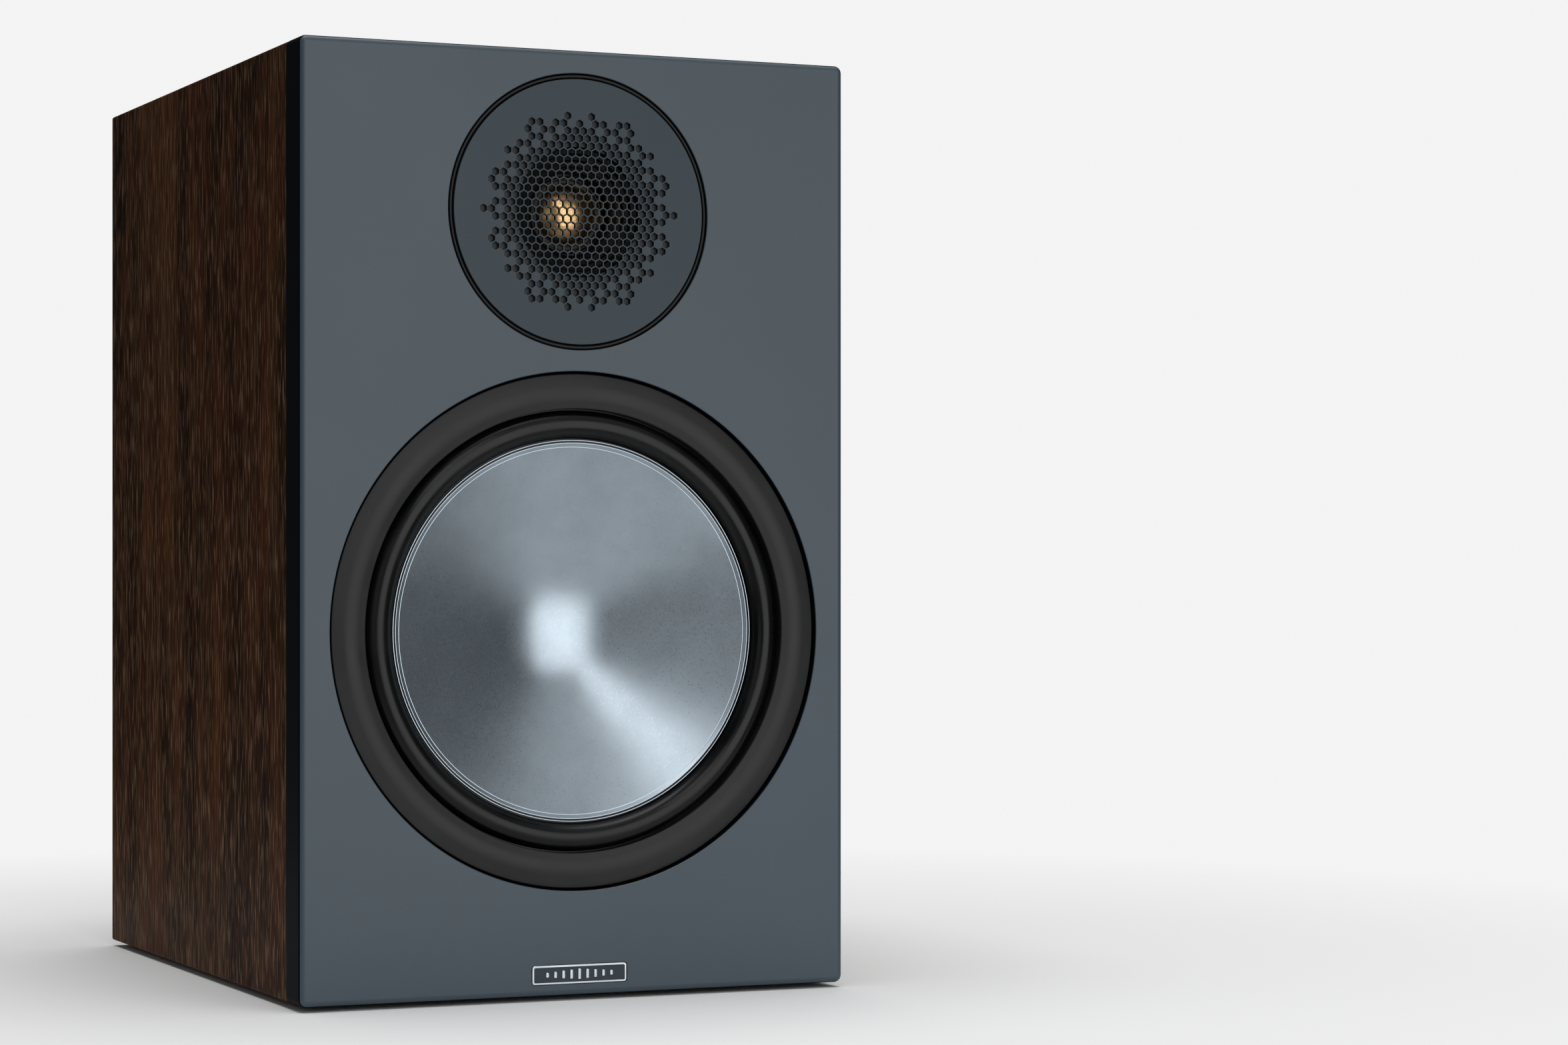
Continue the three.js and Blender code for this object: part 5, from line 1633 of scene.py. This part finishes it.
@dataclass
class Terminals:
    """The terminal panel with its sunk tray, four posts and two links.

    Attributes:
        thick: The flange's thickness.
        corner: The radius of its corners.
        opening: The width of the tray's opening.
        floor: The depth of the tray.
        wall: Its wall.
        screw_inset: From the flange's edge to a screw's centre.
        screw_head: The radius of a screw's head.
        ridges: How many ridges each cap's grip has.
        plug: The radius of the plug's bore in a cap's mouth.
        stud: The radius of a post's thread.
        collar: The post's collar: its radius, and where it starts and ends along the post.
        thread: The pitch of the thread.
        plug_bore: The radius and depth of the bore in a post.
    """

    thick: float = 2.2
    corner: float = 6.0
    opening: float = 84.0
    floor: float = 12.0
    wall: float = 2.5
    screw_inset: float = 6.5
    screw_head: float = 3.4
    ridges: int = 20
    plug: float = 2.45
    stud: float = 3.0
    collar: tuple[float, float, float] = (6.2, 15.8, 18.8)
    thread: float = 1.0
    plug_bore: Point = (2.05, 17.0)

    def build(self) -> None:
        """Makes every piece of the terminal panel."""
        self.size = extent("terminal_plate")
        self.at = centre("terminal_plate")
        self.at.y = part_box("terminal_plate")[1].y
        self.panel()
        self.screws()
        for row in ("high", "low"):
            for side in Polarity:
                self.post(f"{row}_{side.value}", CAP_RED if side is Polarity.PLUS else CAP_BLACK)
        for side in Polarity:
            self.link(side)
            self.sign(side)

    def screw_places(self) -> list[Point]:
        """The four corners where the panel is screwed down."""
        reach = self.size.x / 2 - self.screw_inset
        return [(reach, reach), (-reach, reach), (reach, -reach), (-reach, -reach)]

    def panel(self) -> None:
        """The flange and its tray, with countersunk holes for the screws."""
        made = Workpiece()
        wide, deep, low = self.size.x, self.size.y, self.floor
        flange = [
            made.oblong(wide - 2 * inset, wide - 2 * inset, self.corner - inset, -depth)
            for inset, depth in rounded_edge(0.8)
        ]
        shell = self.opening + 2 * self.wall
        backs = [made.oblong(wide, wide, self.corner, -self.thick)]
        backs += [made.oblong(shell, shell, 5, -self.thick), made.oblong(shell, shell, 5, -deep)]
        made.bridge(*flange, *backs)
        made.fill(backs[-1])
        tray = [
            made.oblong(self.opening - 2 * inset, self.opening - 2 * inset, corner, -depth)
            for inset, corner, depth in (
                (-0.9, 5.9, 0), (-0.3, 5.3, 0.2), (0, 5, 0.9),
                (1, 4.5, low - 1.5), (1.5, 4.2, low - 0.5), (2.5, 3.6, low),
            )
        ]
        made.bridge(*tray)
        made.fill(tray[-1])
        mouths = []
        for place in self.screw_places():
            head = self.screw_head + 0.2
            steps = ((head, 0), (head, 0.3), (1.7, 1.9))
            pit = [made.circle(radius, -depth, 32, place) for radius, depth in steps]
            made.bridge(*pit)
            made.fill(pit[-1])
            mouths += pit[0]
        made.fill(flange[0], tray[0], mouths)
        made.done(
            Belonging("terminal_tray", "cabinet", "terminal_plastic", ("terminal_plate",)),
            self.at, MOULDED_BLACK,
        )

    def screws(self) -> None:
        """Four countersunk screws with six-sided sockets."""
        made = Workpiece()
        head = self.screw_head
        steps = ((1.35, 0.15), (1.25, 0.25), (1.25, 1.3))
        socket = [made.circle(radius, -depth, 6) for radius, depth in steps]
        top = made.circle(head - 0.3, -0.15, 36)
        rest = [made.circle(radius, -depth, 36) for radius, depth in ((head, 0.4), (1.6, 1.8))]
        made.bridge(*socket)
        made.bridge(top, *rest)
        made.fill(top, socket[0])
        made.fill(socket[-1])
        made.fill(rest[-1])
        made.copies(self.screw_places())
        made.done(Belonging("panel_screws", "cabinet", "steel"), self.at, SCREW_BLACK)

    def fluted(self, made: Workpiece, radius: float, cut: float, depth: float) -> Loop:
        """Draws a circle with evenly spaced grooves.

        Args:
            made: The cap.
            radius: The radius over the ridges.
            cut: How deep the grooves are.
            depth: The circle's place along Y.

        Returns:
            The circle's edges.
        """
        loop = made.circle(radius, depth, self.ridges * 4)
        for point in {point for edge in loop for point in edge.verts}:
            turn = math.atan2(point.co.z, point.co.x) / math.tau * self.ridges
            if cut and round(turn * 4) % 4 in (1, 2):
                point.co.x *= 1 - cut / radius
                point.co.z *= 1 - cut / radius
        return loop

    def post(self, post: str, finish: Finish) -> None:
        """One post: its threaded stud, clamp washer and screw cap with a plated core.

        Args:
            post: The post's name.
            finish: The cap's plastic.
        """
        self.threaded_stud(post)
        washer, at = extent(f"washer_{post}"), self.seat(f"washer_{post}")
        profile = outline(
            (self.stud + 0.4, 0, 0.2), (washer.x / 2, 0, 0.3), (washer.x / 2, washer.y, 0.3),
            (self.stud + 0.4, washer.y, 0.2),
        )
        turned(
            Belonging(f"clamp_disc_{post}", f"clamp_{post}", "gold_brass", (f"washer_{post}",)),
            at, profile, 64, GOLD_PLATING,
        )
        size, at = extent(f"cap_{post}"), self.seat(f"cap_{post}")
        radius, length, core = size.x / 2, size.y, 5.0
        rings = [
            (core, 0, 0), (radius - 0.5, 0, 0), (radius, 0, 0.5), (radius, 0, 2.4), (radius - 0.7, 0, 2.9),
            (radius - 0.7, 0, 3.5), (radius - 0.1, 0.55, 4.1), (radius - 0.1, 0.55, length - 2.4),
            (radius - 0.7, 0, length - 1.5), (radius - 0.9, 0, length - 0.5), (radius - 1.3, 0, length - 0.1),
            (core + 0.3, 0, length), (core, 0, length - 0.3),
        ]
        made = Workpiece()
        loops = [self.fluted(made, size_here, cut, depth) for size_here, cut, depth in rings]
        made.bridge(*loops, loops[0])
        slot = "red_plastic" if finish is CAP_RED else "cap_black"
        made.done(Belonging(f"grip_{post}", f"screw_{post}", slot, (f"cap_{post}",)), at, finish, angle=30)
        end, bore = length - 0.6, self.stud + 0.35
        profile = outline(
            (bore, 0), (core - 0.1, 0), (core - 0.1, end, 0.3), (self.plug, end, 0.5),
            (self.plug, length - 2.4), (bore, length - 2.4),
        )
        turned(
            Belonging(f"core_{post}", f"screw_{post}", "gold_brass"), at, profile, 64, GOLD_PLATING
        )

    def seat(self, node: str) -> Vector:
        """The middle of the side of a solid that faces the cabinet."""
        middle = centre(node)
        return Vector((middle.x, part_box(node)[0].y, middle.z))

    def threaded_stud(self, post: str) -> None:
        """A plated stud with a collar, a thread and a bore for a plug.

        Args:
            post: The post's name.
        """
        length = extent(f"stud_{post}").y
        wide, start, stop = self.collar
        bore, deep = self.plug_bore
        core = self.stud - 0.45 * self.thread
        profile = outline(
            (0, 0), (self.stud, 0, 0.3), (self.stud, start), (wide, start, 0.3), (wide, stop, 0.5),
            (core, stop), (core, stop + 0.6),
        )
        turns = int((length - stop - 1.6) / self.thread)
        for turn in range(turns):
            along = stop + 0.6 + turn * self.thread
            profile += [(self.stud, along + self.thread * 0.45), (self.stud, along + self.thread * 0.55)]
            profile += [(core, along + self.thread)]
        profile += [(core, length - 0.4), (bore + 0.5, length), (bore, length - 0.3), (bore, length - deep)]
        turned(
            Belonging(f"threaded_{post}", "cabinet", "gold_brass", (f"stud_{post}",)),
            self.seat(f"stud_{post}"), [*profile, (0, length - deep - 0.8)], 48, GOLD_PLATING, closed=False,
        )

    def link(self, side: Polarity) -> None:
        """A plated strip that joins the two posts of one side.

        Args:
            side: Which side it joins.
        """
        node = f"jumper_link_{side.value}"
        size, at = extent(node), self.seat(node)
        gap = (centre(f"stud_high_{side.value}").z - centre(f"stud_low_{side.value}").z) / MM / 2
        made = Workpiece()
        bevel, half = 0.15, size.x / 2
        edge = [
            made.oblong(size.x - 2 * inset, size.z - 2 * inset, half - inset - 0.05, depth, steps=12)
            for inset, depth in ((bevel, 0), (0, bevel), (0, size.y - bevel), (bevel, size.y))
        ]
        made.bridge(*edge)
        eyes = []
        for up in (gap, -gap):
            eye = [made.circle(self.stud + 0.4, depth, 48, (0, up)) for depth in (0, size.y)]
            made.bridge(*eye)
            eyes.append(eye)
        made.fill(edge[0], eyes[0][0], eyes[1][0])
        made.fill(edge[-1], eyes[0][1], eyes[1][1])
        made.done(
            Belonging(f"link_strip_{side.value}", "cabinet", "gold_brass", (node,)), at, GOLD_PLATING
        )

    def sign(self, side: Polarity) -> None:
        """A raised plus or minus on the tray's floor, beside each side's posts.

        Args:
            side: Which sign it is.
        """
        made = Workpiece()
        across = 24.0 if side is Polarity.MINUS else -24.0
        bars = [(7.0, 1.6)] + ([(1.6, 7.0)] if side is Polarity.PLUS else [])
        for level, (wide, tall) in enumerate(bars):
            height = 0.5 + 0.01 * level
            bar = [
                made.oblong(wide - 2 * inset, tall - 2 * inset, 0.5 - inset, depth, (across, 0), 3)
                for inset, depth in ((0, -0.1), (0, height - 0.15), (0.15, height))
            ]
            made.bridge(*bar)
            made.fill(bar[0])
            made.fill(bar[-1])
        at = self.at + Vector((0, -self.floor * MM, 0))
        made.done(Belonging(f"moulded_sign_{side.value}", "cabinet", "terminal_plastic"), at, SIGN_PAINT)


# ---- Crossover and leads ----


@dataclass
class Crossover:
    """The board on the cabinet's floor, its parts and the three leads."""

    def build(self) -> None:
        """Dresses the parts inside the cabinet."""
        dress(CIRCUIT, "crossover_board")
        dress(COIL_WIRE, "woofer_inductor", "tweeter_inductor")
        dress(CAPACITOR, "woofer_capacitor", "tweeter_capacitor")
        dress(RESISTOR, "power_resistor")
        dress(LEAD_JACKET, "woofer_lead", "tweeter_lead", "input_lead")


# ---- Studio ----


@dataclass
class Studio:
    """A pale floor, soft boxes and the camera.

    Attributes:
        lens: The camera's focal length, in millimetres.
        eye: Where the camera stands, in metres.
        heading: How far it is turned to the left, in degrees.
        rise: How far its frame is shifted up.
        room_light: How bright the room is beyond the lamps.
        backdrop: How pale the backdrop is.
        overhead_light: How strong the lamp above is.
        floor_reach: The radii where the floor starts and ends to fade into the backdrop, in metres.
    """

    lens: float = 87.37
    eye: tuple[float, float, float] = (-0.5457, -1.5689, 0.1718)
    heading: float = -24.17
    rise: float = 0.0293
    room_light: float = 0.09
    backdrop: float = 0.9
    overhead_light: float = 1.9
    floor_reach: Point = (0.24, 0.7)

    def build(self) -> None:
        """Sets the stage."""
        self.camera()
        self.floor()
        self.surroundings()
        self.overhead()
        self.softbox("soft_front", (15, 1), 2.6, (2.2, 2.7), 2.1)
        self.softbox("soft_streak", (-11, 37), 2.4, (0.8, 0.8), 2.9)
        self.softbox("soft_high", (34, 50), 2.1, (1.4, 1.1), 0.45)
        self.softbox("soft_left", (-40, 8), 2.6, (1.2, 1.2), 0.52)
        self.softbox("soft_side", (-100, 25), 2.4, (1.0, 1.4), 0.5)
        self.softbox("soft_rear", (160, 35), 2.6, (1.4, 1.0), 1.2)

    def camera(self) -> None:
        """Sets the camera level, at the loudspeaker's left front."""
        lens = bpy.data.cameras.new("camera")
        lens.lens = self.lens
        lens.sensor_width = 36.0
        lens.shift_y = self.rise
        eye = bpy.data.objects.new("camera", lens)
        eye.location = self.eye
        eye.rotation_euler = (math.pi / 2, 0, math.radians(self.heading))
        bpy.context.scene.collection.objects.link(eye)
        bpy.context.scene.camera = eye

    def floor(self) -> None:
        """Lays a round pale floor that fades into the backdrop."""
        made = bmesh.new()
        bmesh.ops.create_circle(made, segments=128, radius=self.floor_reach[1], cap_ends=True)
        data = bpy.data.meshes.new("studio_floor")
        made.to_mesh(data)
        made.free()
        recipe = Recipe("studio_floor", (0.86, 0.86, 0.86), 0.9)
        recipe.shader.inputs["Specular IOR Level"].default_value = 0.0
        away = recipe.add("ShaderNodeVectorMath", {}, operation="LENGTH")
        recipe.feed(away.inputs[0], recipe.place)
        recipe.to_shader("Alpha", recipe.spread(away.outputs["Value"], *self.floor_reach, 1.0, 0.0))
        data.materials.append(recipe.material)
        ground = bpy.data.objects.new("studio_floor", data)
        bpy.context.scene.collection.objects.link(ground)

    def surroundings(self) -> None:
        """A dim room behind a pale backdrop."""
        world = bpy.data.worlds.new("room")
        world.use_nodes = True
        nodes, links = world.node_tree.nodes, world.node_tree.links
        room = nodes["Background"]
        room.inputs["Color"].default_value = (0.95, 0.97, 1.0, 1)
        room.inputs["Strength"].default_value = self.room_light
        backdrop = nodes.new("ShaderNodeBackground")
        backdrop.inputs["Color"].default_value = (self.backdrop,) * 3 + (1,)
        choice = nodes.new("ShaderNodeMixShader")
        links.new(nodes.new("ShaderNodeLightPath").outputs["Is Camera Ray"], choice.inputs["Fac"])
        links.new(room.outputs["Background"], choice.inputs[1])
        links.new(backdrop.outputs["Background"], choice.inputs[2])
        links.new(choice.outputs["Shader"], nodes["World Output"].inputs["Surface"])
        bpy.context.scene.world = world
        bpy.context.scene.view_settings.view_transform = "Standard"

    def hang(self, name: str, lamp: bpy.types.Light, place: Vector, aim: Vector) -> None:
        """Puts a lamp in the room, out of the camera's sight.

        Args:
            name: Its name.
            lamp: The lamp.
            place: Where it hangs, in metres.
            aim: The point that it faces, in metres.
        """
        box = bpy.data.objects.new(name, lamp)
        box.location = place
        box.rotation_euler = (aim - place).to_track_quat("-Z", "Y").to_euler()
        box.visible_camera = False
        bpy.context.scene.collection.objects.link(box)

    def overhead(self) -> None:
        """One very soft lamp straight above, which lights the whole floor evenly."""
        lamp = bpy.data.lights.new("soft_overhead", "SUN")
        lamp.angle = math.radians(50)
        lamp.energy = self.overhead_light
        self.hang("soft_overhead", lamp, Vector((0, 0, 3)), Vector((0, 0.001, 0)))

    def softbox(self, name: str, bearing: Point, distance: float, size: Point, radiance: float) -> None:
        """Hangs a soft box that faces the woofer.

        Args:
            name: Its name.
            bearing: Its direction from the woofer, in degrees: to the right of straight ahead, and up.
            distance: How far off it is, in metres.
            size: Its width and height, in metres.
            radiance: How bright its face is.
        """
        lamp = bpy.data.lights.new(name, "AREA")
        lamp.shape = "RECTANGLE"
        lamp.size, lamp.size_y = size
        lamp.energy = math.pi * size[0] * size[1] * radiance
        right, up = (math.radians(angle) for angle in bearing)
        way = Vector((math.sin(right) * math.cos(up), -math.cos(right) * math.cos(up), math.sin(up)))
        aim = on_front("woofer_trim_ring")
        self.hang(name, lamp, aim + way * distance, aim)


def main() -> None:
    """Builds the studio and the loudspeaker."""
    logging.basicConfig(level=logging.INFO, format="%(message)s")
    for section in (Studio(), Cabinet(), Woofer(), Tweeter(), Port(), Terminals(), Crossover()):
        LOG.info("%s", type(section).__name__)
        section.build()


if __name__ == "__main__":
    main()
